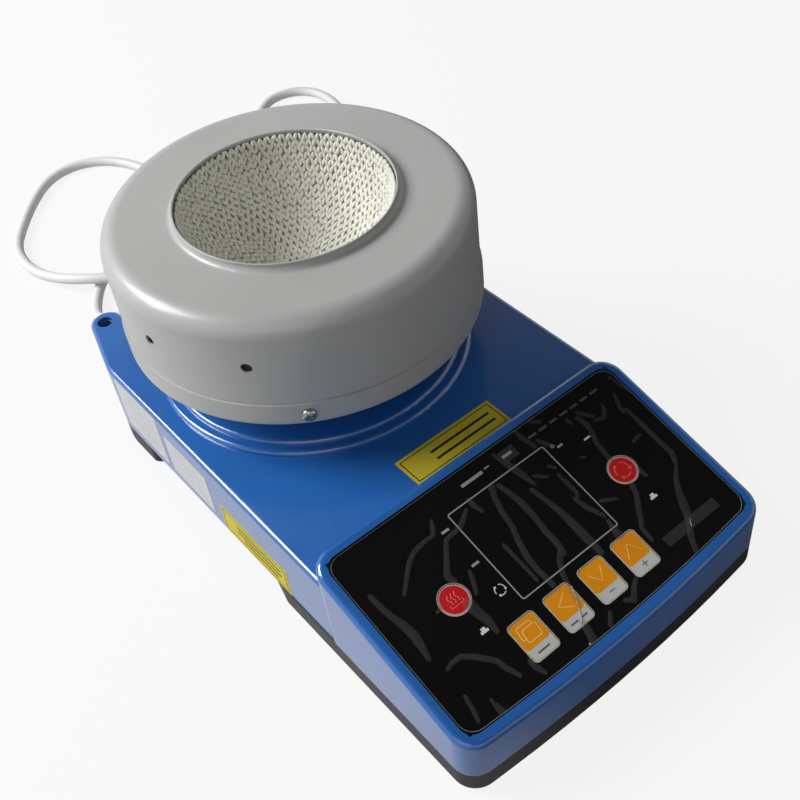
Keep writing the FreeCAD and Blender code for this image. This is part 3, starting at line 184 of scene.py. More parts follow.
def flat_rectangle(width: float, length: float, radius: float) -> Piece:
    """A flat rectangle with round corners about the origin, left in edit mode."""
    deselect()
    bpy.ops.mesh.primitive_plane_add(size=1.0)
    plate = bpy.context.object
    plate.scale = (width, length, 1.0)
    bpy.ops.object.transform_apply(location=False, rotation=False, scale=True)
    bpy.ops.object.mode_set(mode="EDIT")
    bpy.ops.mesh.select_all(action="SELECT")
    if radius > 0:
        bpy.ops.mesh.bevel(offset=radius, segments=CORNER_STEPS, affect="VERTICES")
    return plate


def cut_middle(border: float) -> None:
    """Leaves only a border of the flat shape that is in edit mode."""
    bpy.ops.mesh.inset(thickness=border)
    bpy.ops.mesh.delete(type="FACE")
    bpy.ops.mesh.select_all(action="SELECT")


def raised(piece: Piece, thick: float) -> Piece:
    """Gives the flat shape that is in edit mode its height, and leaves edit mode."""
    bpy.ops.mesh.extrude_region_move(TRANSFORM_OT_translate={"value": (0, 0, thick)})
    bpy.ops.object.mode_set(mode="OBJECT")
    tidy_normals(piece)
    return piece


def rounded_plate(width: float, length: float, radius: float, thick: float) -> Piece:
    """A thin plate with round corners, lying on the XY plane about the origin."""
    return raised(flat_rectangle(width, length, radius), thick)


def rounded_frame(
    width: float, length: float, radius: float, border: float, thick: float
) -> Piece:
    """A thin line of one width round a rectangle with round corners.

    Args:
        width: Size along X, over the line.
        length: Size along Y, over the line.
        radius: The outer corner's radius.
        border: The line's width.
        thick: Its height above the XY plane.

    Returns:
        The frame, about the origin.
    """
    frame = flat_rectangle(width, length, radius)
    cut_middle(border)
    return raised(frame, thick)


def round_plate(radius: float, thick: float, hole: float = 0.0) -> Piece:
    """A thin disc on the XY plane about the origin, with a round hole if one is given."""
    deselect()
    bpy.ops.mesh.primitive_circle_add(vertices=48, radius=radius, fill_type="NGON")
    disc = bpy.context.object
    bpy.ops.object.mode_set(mode="EDIT")
    bpy.ops.mesh.select_all(action="SELECT")
    if hole > 0:
        cut_middle(radius - hole)
    return raised(disc, thick)


def tube(name: str, kind: str, points: Sequence[Point3], radius: float) -> Piece:
    """A round line through points, as a curve with closed ends.

    Args:
        name: Its name.
        kind: The spline's type, such as "POLY".
        points: Its points, in metres.
        radius: Its radius.

    Returns:
        The line.
    """
    curve = bpy.data.curves.new(name, "CURVE")
    curve.dimensions = "3D"
    curve.bevel_depth = radius
    curve.use_fill_caps = True
    spline = curve.splines.new(kind)
    spline.points.add(len(points) - 1)
    for target, point in zip(spline.points, points):
        target.co = (*point, 1.0)
    line = bpy.data.objects.new(name, curve)
    bpy.context.scene.collection.objects.link(line)
    return line


def stroke(points: Iterable[Point2], width: float, thick: float, closed: bool = False) -> Piece:
    """A printed line through flat points, a little raised and round at its edges.

    Args:
        points: Points on the XY plane, in metres.
        width: The line's width.
        thick: Its height above the plane.
        closed: Whether the last point joins the first.

    Returns:
        The line as a mesh.
    """
    line = tube("stroke", "POLY", [(x, y, 0.0) for x, y in points], width / 2)
    line.data.bevel_resolution = 1
    line.data.splines[0].use_cyclic_u = closed
    activate(line)
    bpy.ops.object.convert(target="MESH")
    line = bpy.context.object
    line.scale = (1.0, 1.0, thick / (width / 2))
    bpy.ops.object.transform_apply(location=False, rotation=False, scale=True)
    return line


def arc_points(radius: float, start: float, end: float, count: int = 10) -> list[Point2]:
    """Points of an arc about the origin, from one angle to another in degrees."""
    turns = [math.radians(start + (end - start) * step / (count - 1)) for step in range(count)]
    return [(radius * math.cos(turn), radius * math.sin(turn)) for turn in turns]


def turning_arrows(radius: float) -> list[list[Point2]]:
    """Three arcs that run clockwise round the origin, each with a small arrowhead at its end."""
    lines = []
    for start, end in ARROW_ARCS:
        barbs = [arc_points(radius * share, end + ARROW_BARB, end, 2)[0] for share in (1.2, 0.8)]
        tip = arc_points(radius, start, end, 2)[1]
        lines.append(arc_points(radius, start, end))
        lines.append([barbs[0], tip, barbs[1]])
    return lines


# Node trees

def feed(tree: Tree, node: bpy.types.Node, inputs: dict[str | int, object]) -> None:
    """Sets inputs of a node, by name or number, to a value or to the socket that feeds them."""
    for key, value in inputs.items():
        if isinstance(value, Socket):
            tree.links.new(value, node.inputs[key])
        else:
            node.inputs[key].default_value = value


def add_node(
    tree: Tree, kind: str, inputs: dict[str | int, object] | None = None, **settings: object
) -> bpy.types.Node:
    """Adds a node to a tree.

    Args:
        tree: The tree.
        kind: The node's type.
        inputs: Values or sockets for its inputs, by name or number.
        **settings: Values for the node's own properties.

    Returns:
        The node.
    """
    node = tree.nodes.new(kind)
    for name, value in settings.items():
        setattr(node, name, value)
    feed(tree, node, inputs or {})
    return node


def eased(tree: Tree, value: Socket, limits: Four) -> Socket:
    """A value that changes softly from one level to another.

    Args:
        tree: The tree.
        value: The socket that is read.
        limits: Where the change starts and ends, and its two levels.

    Returns:
        The new value's socket.
    """
    inputs = dict(zip(("From Min", "From Max", "To Min", "To Max"), limits))
    inputs["Value"] = value
    return add_node(tree, "ShaderNodeMapRange", inputs, interpolation_type="SMOOTHSTEP").outputs["Result"]


def by_ray(tree: Tree, plain: Socket, gloss: Socket, seen: Socket, share: float) -> Socket:
    """One shader for each kind of ray.

    Args:
        tree: The tree.
        plain: What lights the object.
        gloss: What mirror images show.
        seen: What the camera sees.
        share: How much of that the camera sees; the rest is the plain one.

    Returns:
        The joint shader's socket.
    """
    path = add_node(tree, "ShaderNodeLightPath").outputs
    mirrored = add_node(tree, "ShaderNodeMixShader", {"Fac": path["Is Glossy Ray"], 1: plain, 2: gloss})
    camera = add_node(tree, "ShaderNodeMath", {0: path["Is Camera Ray"], 1: share}, operation="MULTIPLY")
    mixed = {"Fac": camera.outputs[0], 1: mirrored.outputs[0], 2: seen}
    return add_node(tree, "ShaderNodeMixShader", mixed).outputs[0]


# Finishes

class Sockets(Enum):
    """Kinds of socket that an effect's node group has."""

    VALUE = "NodeSocketFloat"
    COLOUR = "NodeSocketColor"


class Effect:
    """A shader node group that several finishes share."""

    def __init__(self, name: str, inputs: dict[str, float | Four], outputs: dict[str, Sockets]) -> None:
        """Makes an empty group.

        Args:
            name: The group's name.
            inputs: Names of the inputs with their defaults, a number or a colour each.
            outputs: Names and kinds of the outputs.
        """
        self.tree = bpy.data.node_groups.new(name, "ShaderNodeTree")
        for label, default in inputs.items():
            kind = Sockets.COLOUR if isinstance(default, tuple) else Sockets.VALUE
            socket = self.tree.interface.new_socket(label, in_out="INPUT", socket_type=kind.value)
            socket.default_value = default
        for label, kind in outputs.items():
            self.tree.interface.new_socket(label, in_out="OUTPUT", socket_type=kind.value)
        self.given = self.add("NodeGroupInput").outputs
        self.result = self.add("NodeGroupOutput")
        self.place = self.add("ShaderNodeTexCoord").outputs["Object"]

    def add(
        self, kind: str, inputs: dict[str | int, object] | None = None, **settings: object
    ) -> bpy.types.Node:
        """Adds a node to the group."""
        return add_node(self.tree, kind, inputs, **settings)

    def texture(self, kind: str, **inputs: object) -> bpy.types.NodeOutputs:
        """The outputs of a texture that lies on the object."""
        return self.add(kind, {"Vector": self.place, **inputs}).outputs

    def maths(self, operation: str, *values: object) -> Socket:
        """The result of a sum with values or sockets."""
        return self.add("ShaderNodeMath", dict(enumerate(values)), operation=operation).outputs[0]

    def finish(self, **outputs: Socket) -> Tree:
        """Links the group's outputs and gives the group."""
        feed(self.tree, self.result, outputs)
        return self.tree


class Effects:
    """The shared effects, each built once."""

    def __init__(self) -> None:
        """Builds all groups."""
        self.grain = self.build_grain()
        self.tone = self.build_tone()
        self.dust = self.build_dust()

    def build_grain(self) -> Tree:
        """Fine unevenness of a surface, as a height and a roughness."""
        effect = Effect(
            "Grain", {"Scale": 900.0, "Roughness": 0.3, "Spread": 0.06},
            {"Height": Sockets.VALUE, "Roughness": Sockets.VALUE},
        )
        fine = effect.texture("ShaderNodeTexNoise", Detail=3.0, Scale=effect.given["Scale"])
        broad = effect.texture("ShaderNodeTexNoise", Detail=2.0, Scale=26.0)
        middle, spread = effect.given["Roughness"], effect.given["Spread"]
        levels = {
            "Value": broad["Fac"],
            "To Min": effect.maths("SUBTRACT", middle, spread),
            "To Max": effect.maths("ADD", middle, spread),
        }
        rough = effect.add("ShaderNodeMapRange", levels).outputs["Result"]
        return effect.finish(Height=fine["Fac"], Roughness=rough)

    def build_tone(self) -> Tree:
        """Slow change over a surface between a colour's darker and lighter tone."""
        effect = Effect(
            "Tone",
            {"Scale": 18.0, "Amount": 1.0, "Dark": (0.2, 0.2, 0.2, 1.0), "Light": (0.3, 0.3, 0.3, 1.0)},
            {"Colour": Sockets.COLOUR},
        )
        cloud = effect.texture("ShaderNodeTexNoise", Detail=4.0, Scale=effect.given["Scale"])
        middle = 0.5
        centred = effect.maths("SUBTRACT", cloud["Fac"], middle)
        factor = effect.maths("MULTIPLY_ADD", centred, effect.given["Amount"], middle)
        colours = {"Factor": factor, "A": effect.given["Dark"], "B": effect.given["Light"]}
        blend = effect.add("ShaderNodeMix", colours, data_type="RGBA")
        return effect.finish(Colour=blend.outputs["Result"])

    def build_dust(self) -> Tree:
        """Scattered small specks, as a mask."""
        effect = Effect("Dust", {"Scale": 240.0, "Cover": 0.04}, {"Mask": Sockets.VALUE})
        cells = effect.texture("ShaderNodeTexVoronoi", Scale=effect.given["Scale"])
        return effect.finish(Mask=effect.maths("LESS_THAN", cells["Distance"], effect.given["Cover"]))


def linear(red: int, green: int, blue: int) -> Four:
    """A display colour, 0 to 255, as the shader's own linear colour."""
    def channel(value: int) -> float:
        """One channel."""
        share = value / 255
        return share / 12.92 if share <= 0.04045 else ((share + 0.055) / 1.055) ** 2.4
    return channel(red), channel(green), channel(blue), 1.0


COAT_ROUGHNESS = 0.11
SPECK = (66, 66, 64)


@dataclass(frozen=True)
class Finish:
    """How a surface looks.

    Attributes:
        name: The material's name.
        dark: The colour's darker tone, as shown on a display.
        light: The colour's lighter tone.
        roughness: Mean roughness.
        spread: How far the roughness varies.
        grain: Scale of the fine unevenness.
        bump: Its depth, in metres.
        metallic: 1 for bare metal.
        coat: Weight of a clear coat.
        specular: The shader's specular level.
        tone_scale: Scale of the slow change of colour.
        tone: Its amount.
        dust: Share of the surface with pale specks.
        sheen: The shader's sheen weight.
    """

    name: str
    dark: Rgb
    light: Rgb
    roughness: float = 0.4
    spread: float = 0.05
    grain: float = 900.0
    bump: float = 0.00001
    metallic: float = 0.0
    coat: float = 0.0
    specular: float = 0.5
    tone_scale: float = 18.0
    tone: float = 1.0
    dust: float = 0.0
    sheen: float = 0.0

    def build(self, effects: Effects) -> bpy.types.Material:
        """Makes the material.

        Args:
            effects: The shared node groups.

        Returns:
            The material.
        """
        material = bpy.data.materials.new(self.name)
        material.use_nodes = True
        tree = material.node_tree
        levels = {"Scale": self.grain, "Roughness": self.roughness, "Spread": self.spread}
        grain = add_node(tree, "ShaderNodeGroup", levels, node_tree=effects.grain).outputs
        bump = add_node(tree, "ShaderNodeBump", {"Distance": self.bump, "Height": grain["Height"]})
        tones = {
            "Scale": self.tone_scale, "Amount": self.tone, "Dark": linear(*self.dark),
            "Light": linear(*self.light),
        }
        surface = add_node(tree, "ShaderNodeGroup", tones, node_tree=effects.tone).outputs["Colour"]
        if self.dust > 0:
            dust = add_node(tree, "ShaderNodeGroup", {"Cover": self.dust}, node_tree=effects.dust)
            colours = {"Factor": dust.outputs["Mask"], "A": surface, "B": linear(*SPECK)}
            surface = add_node(tree, "ShaderNodeMix", colours, data_type="RGBA").outputs["Result"]
        feed(tree, tree.nodes["Principled BSDF"], {
            "Metallic": self.metallic, "Coat Weight": self.coat, "Coat Roughness": COAT_ROUGHNESS,
            "Specular IOR Level": self.specular, "Sheen Weight": self.sheen,
            "Roughness": grain["Roughness"], "Normal": bump.outputs["Normal"], "Base Color": surface,
        })
        return material


FINISHES = {
    finish.name: finish
    for finish in (
        Finish("blue_enamel", (30, 92, 166), (38, 106, 186), 0.2, 0.04, 420.0, 0.00003, coat=1.0),
        Finish("grey_enamel", (168, 169, 167), (181, 182, 180), 0.38, 0.05, 260.0, 0.00006, coat=0.2),
        Finish("black_moulding", (28, 28, 27), (42, 42, 40), 0.46, 0.06, 1600.0, 0.00005, dust=0.02),
        Finish("foot_rubber", (22, 22, 22), (34, 34, 34), 0.8, 0.06, 1200.0, 0.00005, dust=0.02),
        Finish("screw_plating", (150, 150, 146), (186, 186, 182), 0.28, 0.08, 1500.0, metallic=1.0),
        Finish("panel_print", (9, 9, 10), (15, 15, 15), 0.16, 0.04, 700.0, specular=0.3, dust=0.02),
        Finish("bright_print", (206, 206, 204), (224, 224, 222)),
        Finish("legend_print", (140, 140, 137), (156, 156, 153)),
        Finish("faint_print", (66, 66, 66), (80, 80, 80)),
        Finish("patch_print", (27, 27, 27), (33, 33, 33), 0.5),
        # painted highlight: the film's sharp folds are pale lines, lighter in patches, standing in for where
        # they catch the light
        Finish("painted_glint_fold", (120, 118, 112), (228, 228, 224), 0.3, 0.06, 1400.0, tone_scale=260.0,
               tone=2.2),
        Finish("film_edge", (104, 103, 99), (150, 149, 144), 0.3, 0.08, 1400.0, tone_scale=120.0),
        Finish("key_border", (210, 190, 156), (224, 206, 174), 0.3),
        Finish("key_orange", (214, 132, 4), (238, 154, 12), 0.28, tone_scale=90.0),
        Finish("key_strip", (182, 182, 180), (200, 200, 198), 0.3),
        Finish("key_icon", (234, 186, 104), (242, 200, 126), 0.3),
        Finish("key_ring", (188, 164, 156), (204, 182, 174), 0.3),
        Finish("key_red", (184, 14, 20), (208, 28, 34), 0.26, tone_scale=90.0),
        Finish("red_icon", (222, 92, 84), (232, 116, 106), 0.3),
        Finish("strip_mark", (84, 84, 84), (100, 100, 100)),
        Finish("label_yellow", (196, 180, 44), (214, 198, 58), 0.5, specular=0.2),
        Finish("label_white", (192, 193, 195), (206, 207, 209), 0.5, specular=0.2),
        Finish("label_ink", (34, 32, 20), (46, 44, 30), 0.5, specular=0.2),
        Finish("label_rule", (158, 160, 165), (174, 176, 180), 0.5, specular=0.2),
        # painted shade: the backing under the stitches is darker than the yarn, so that the gaps between
        # stitches look shaded
        Finish("cloth_back_painted_shade", (150, 148, 130), (172, 170, 152), 0.9, 0.04, 1400.0, 0.0001),
        Finish("cloth_yarn", (214, 213, 200), (238, 238, 229), 0.8, 0.06, 2600.0, 0.00012, tone_scale=60.0,
               sheen=0.3),
        Finish("fibre_packing", (206, 205, 198), (222, 221, 216), 0.95, 0.03, 600.0, 0.0004),
        Finish("sleeve_braid", (200, 196, 180), (222, 220, 206), 0.85, 0.05, 2000.0, 0.0001),
        Finish("plain_ceramic", (220, 214, 200), (232, 228, 216), 0.6, 0.05, 900.0, 0.00003),
        Finish("board_green", (20, 84, 44), (30, 104, 56), 0.35, 0.05, 900.0, 0.00002),
        Finish("plated_steel", (130, 130, 130), (160, 160, 160), 0.36, 0.08, 1200.0, metallic=1.0),
        Finish("turned_aluminium", (176, 178, 180), (200, 202, 204), 0.32, 0.06, 1800.0, metallic=1.0),
        Finish("core_varnish", (52, 44, 38), (70, 62, 54), 0.45, 0.06, 1500.0, 0.00003),
        Finish("cord_cover", (212, 212, 211), (228, 228, 227), 0.5, 0.06, 1100.0, 0.00002, tone_scale=40.0),
        Finish("gland_rubber", (120, 120, 118), (136, 136, 134), 0.6, 0.05, 1200.0, 0.00003),
        Finish("blade_brass", (196, 178, 120), (214, 198, 146), 0.3, 0.06, 1500.0, metallic=1.0),
        Finish("thread_steel", (92, 94, 100), (120, 122, 128), 0.35, 0.06, 1400.0, metallic=1.0),
    )
}

NODE_FINISHES = {
    node: finish
    for finish, nodes in {
        "blue_enamel": "housing_shell",
        "black_moulding": "base_tray key_switches fuse_holder",
        "foot_rubber": "rubber_feet",
        "screw_plating": "base_screws board_screws bracket_screws neck_bolts mantle_screws "
        "temperature_sensor motor_shaft drive_magnets",
        "panel_print": "panel_overlay display_module protective_film",
        "key_border": "set_key shift_key down_key up_key",
        "key_ring": "heat_key stir_key",
        "board_green": "control_board power_board",
        "grey_enamel": "mantle_shell mantle_base",
        # the bowl liner gets the darker backing, painted shade behind the stitches
        "cloth_back_painted_shade": "bowl_liner",
        "sleeve_braid": "heating_element",
        "fibre_packing": "insulation",
        "plain_ceramic": "heater_terminal",
        "plated_steel": "stir_motor motor_bracket",
        "turned_aluminium": "magnet_carrier triac_heatsink",
        "core_varnish": "supply_transformer",
        "gland_rubber": "cord_gland",
        "cord_cover": "mains_cord cord_coil cord_tail mains_plug",
        "blade_brass": "plug_blades",
    }.items()
    for node in nodes.split()
}


# Control panel

@dataclass(frozen=True)
class PanelPlane:
    """The tilted plane of the console top: x to the right, y up the slope, z out of it."""

    centre: Point3 = (0.0, -0.1136, 0.05443)
    tilt: float = 15.64
    overlay_top: float = -0.9 * MM
    key_top: float = -1.2 * MM
    film_level: float = -0.78 * MM

    def matrix(self) -> Matrix:
        """Where the plane lies in the frame."""
        return Matrix.Translation(self.centre) @ Matrix.Rotation(math.radians(self.tilt), 4, "X")

    def lay(self, piece: Piece, x: float, y: float, z: float) -> Piece:
        """Puts a flat piece on the plane, at x and y in millimetres and z in metres."""
        return place(piece, self.matrix() @ Matrix.Translation((x * MM, y * MM, z)))


class Sign(Enum):
    """What is drawn on a key's coloured field."""

    SQUARES = "squares"
    LEFT = "left"
    DOWN = "down"
    UP = "up"
    HEAT = "heat"
    TURN = "turn"


@dataclass
class KeyFace:
    """The printed face of one key, sizes in millimetres.

    Attributes:
        node: The key's CAD node.
        body: The body that the key rides on.
        x: Middle of the key on the panel.
        y: The same, up the slope.
        sign: What its field shows.
        marks: Short bars on its strip, as (x, y, width, length).
        border: Width of the pale edge that stays bare on the key.
        gap: Play between the key and the panel.
        surround: Width of the pale line printed on the panel round the key.
    """

    node: str
    body: str
    x: float
    y: float
    sign: Sign
    marks: tuple[Four, ...] = ()
    width: float = 14.6
    length: float = 19.5
    corner: float = 2.0
    border: float = 0.4
    gap: float = 0.2
    surround: float = 0.3
    strip: float = 5.9
    strip_corner: float = 1.8
    edge_radius: float = 7.4
    disc_radius: float = 6.7
    ink: float = 0.05 * MM
    line: float = 0.52 * MM

    def sign_lines(self) -> list[tuple[list[Point2], bool]]:
        """The lines of the sign, in millimetres about the field's middle, with whether each closes."""
        if self.sign is Sign.SQUARES:
            back = [
                (-3.4, -2.0), (-4.5, -2.0), (-4.9, -1.1), (-4.3, 3.6), (-3.4, 4.3),
                (3.0, 4.3), (3.7, 3.7), (3.6, 2.2),
            ]
            front = [
                (-3.3, -3.2), (-2.5, -4.1), (4.0, -4.1), (4.6, -3.3), (5.1, 1.2),
                (4.4, 2.1), (-2.0, 2.1), (-2.7, 1.3),
            ]
            return [(back, False), (front, True)]
        if self.sign is Sign.LEFT:
            return [([(3.1, 3.9), (-3.4, 0.0), (3.0, -4.1)], False)]
        if self.sign is Sign.DOWN:
            return [([(-4.0, 3.0), (0.1, -3.3), (4.1, 3.0)], False)]
        if self.sign is Sign.UP:
            return [([(-4.3, -3.4), (0.0, 3.0), (4.3, -3.4)], False)]
        if self.sign is Sign.HEAT:
            waves = []
            for start in (-2.0, 0.0, 2.0):
                wave = [(start + 0.5 * math.sin(step * 0.95), -1.5 + 0.6 * step) for step in range(9)]
                waves.append((wave, False))
            tray = [(-3.4, -1.3), (-3.4, -2.9), (3.5, -2.9), (3.5, -1.3)]
            return waves + [(tray, False)]
        return [(line, False) for line in turning_arrows(4.0)]

    def draw_sign(self, panel: PanelPlane, y: float, z: float) -> Piece:
        """Draws the sign on the key.

        Args:
            panel: The panel's plane.
            y: Middle of the field up the slope, in millimetres.
            z: Height of the field, in metres.

        Returns:
            The sign as one piece.
        """
        lines = [
            stroke([(px * MM, py * MM) for px, py in points], self.line, self.ink, closed)
            for points, closed in self.sign_lines()
        ]
        return panel.lay(joined(lines), self.x, y, z)

    def build_square(self, panel: PanelPlane, finishes: Materials) -> None:
        """Makes the field, strip, sign, marks and surround of a rectangular key."""
        field_length = self.length - self.strip - self.border
        field_y = self.y + self.length / 2 - self.border - field_length / 2
        strip_y = self.y - self.length / 2 + self.strip / 2
        top = panel.key_top
        field = rounded_plate(
            (self.width - 2 * self.border) * MM, field_length * MM, (self.corner - self.border) * MM, self.ink
        )
        panel.lay(field, self.x, field_y, top)
        complete(field, self.node + "_field", finishes["key_orange"], self.body)
        strip = rounded_plate(self.width * MM, self.strip * MM, self.strip_corner * MM, self.ink)
        panel.lay(strip, self.x, strip_y, top)
        complete(strip, self.node + "_strip", finishes["key_strip"], self.body)
        sign = self.draw_sign(panel, field_y, top + self.ink)
        complete(sign, self.node + "_sign", finishes["key_icon"], self.body)
        bars = []
        for x, y, width, length in self.marks:
            bar = rounded_plate(width * MM, length * MM, 0.0, self.ink)
            bars.append(panel.lay(bar, self.x + x, strip_y + y, top + self.ink))
        complete(joined(bars), self.node + "_mark", finishes["strip_mark"], self.body)
        reach = self.gap + self.surround
        line = rounded_frame(
            (self.width + 2 * reach) * MM, (self.length + 2 * reach) * MM, (self.corner + reach) * MM,
            self.surround * MM, self.ink,
        )
        panel.lay(line, self.x, self.y, panel.overlay_top)
        complete(line, self.node + "_surround", finishes["key_border"])

    def build_round(self, panel: PanelPlane, finishes: Materials) -> None:
        """Makes the disc, sign and surround of a round key."""
        disc = panel.lay(round_plate(self.disc_radius * MM, self.ink), self.x, self.y, panel.key_top)
        complete(disc, self.node + "_disc", finishes["key_red"], self.body)
        sign = self.draw_sign(panel, self.y, panel.key_top + self.ink)
        complete(sign, self.node + "_sign", finishes["red_icon"], self.body)
        inner = self.edge_radius + self.gap
        line = round_plate((inner + self.surround) * MM, self.ink, inner * MM)
        panel.lay(line, self.x, self.y, panel.overlay_top)
        complete(line, self.node + "_surround", finishes["key_ring"])

    def build(self, panel: PanelPlane, finishes: Materials) -> None:
        """Makes all print on the key."""
        if self.sign in (Sign.HEAT, Sign.TURN):
            self.build_round(panel, finishes)
        else:
            self.build_square(panel, finishes)


@dataclass
class PanelPrint:
    """Light lines and small marks printed on the black panel, sizes in millimetres.

    Attributes:
        display: The display outline's middle x and y, width and length.
        bars: Grey bars, as (x, y, width, length).
        bright_bars: White bars, the same way.
        patches: Faint plain fields, the same way.
        title_start: Middle of the first bar in the faint row.
        states: Foot of each small two-step lamp mark.
        arrows: Middle x, y and radius of the turning arrows.
    """

    display: Four = (0.9, 8.1, 61.0, 52.6)
    display_corner: float = 1.4
    display_line: float = 0.65
    bars: tuple[Four, ...] = (
        (-35.2, 28.7, 4.2, 1.3), (-35.0, 8.1, 4.2, 1.3), (38.4, 29.2, 3.2, 1.2),
        (-7.8, 41.4, 13.0, 1.7), (2.0, 42.0, 3.2, 0.6), (14.4, 41.2, 6.0, 1.5),
    )
    bright_bars: tuple[Four, ...] = ((52.0, 24.2, 4.0, 0.9),)
    patches: tuple[Four, ...] = ((59.8, -38.5, 35.1, 5.5), (15.4, 41.0, 9.0, 6.6))
    title_start: Point2 = (31.5, 41.5)
    title_step: float = 7.0
    title_count: int = 7
    title_bar: Point2 = (5.0, 1.3)
    states: tuple[Point2, ...] = ((-52.8, -19.0), (55.1, -19.1))
    state_steps: tuple[Point2, ...] = ((4.2, 1.3), (2.3, 1.4))
    arrows: tuple[float, float, float] = (-34.4, -8.1, 2.6)
    arrow_line: float = 0.5
    degree: tuple[float, float, float] = (35.2, 31.2, 0.8)
    ink: float = 0.03 * MM

    def bar(self, panel: PanelPlane, x: float, y: float, width: float, length: float) -> Piece:
        """A small plain bar."""
        return panel.lay(rounded_plate(width * MM, length * MM, 0.0, self.ink), x, y, panel.overlay_top)

    def line(self, panel: PanelPlane, x: float, y: float, points: Iterable[Point2]) -> Piece:
        """A thin line through points about a middle."""
        run = [(px * MM, py * MM) for px, py in points]
        return panel.lay(stroke(run, self.arrow_line * MM, self.ink), x, y, panel.overlay_top)

    def build(self, panel: PanelPlane, finishes: Materials) -> None:
        """Makes the print."""
        x, y, width, length = self.display
        outline = rounded_frame(
            width * MM, length * MM, self.display_corner * MM, self.display_line * MM, self.ink
        )
        panel.lay(outline, x, y, panel.overlay_top)
        complete(outline, "display_outline", finishes["legend_print"])
        x, y, radius = self.degree
        marks = [self.bar(panel, *bar) for bar in self.bars]
        marks.append(self.line(panel, x, y, arc_points(radius, 0, 360, 14)))
        complete(joined(marks), "panel_marks", finishes["legend_print"])
        bright = [self.bar(panel, *bar) for bar in self.bright_bars]
        for x, y in self.states:
            for width, length in self.state_steps:
                bright.append(self.bar(panel, x, y + length / 2, width, length))
                y += length
        x, y, radius = self.arrows
        bright += [self.line(panel, x, y, points) for points in turning_arrows(radius)]
        complete(joined(bright), "panel_bright_marks", finishes["bright_print"])
        start_x, title_y = self.title_start
        title = [
            self.bar(panel, start_x + step * self.title_step, title_y, *self.title_bar)
            for step in range(self.title_count)
        ]
        complete(joined(title), "panel_title", finishes["faint_print"])
        fields = [
            panel.lay(rounded_plate(width * MM, length * MM, 0.0, self.ink / 2), x, y, panel.overlay_top)
            for x, y, width, length in self.patches
        ]
        complete(joined(fields), "panel_patches", finishes["patch_print"])


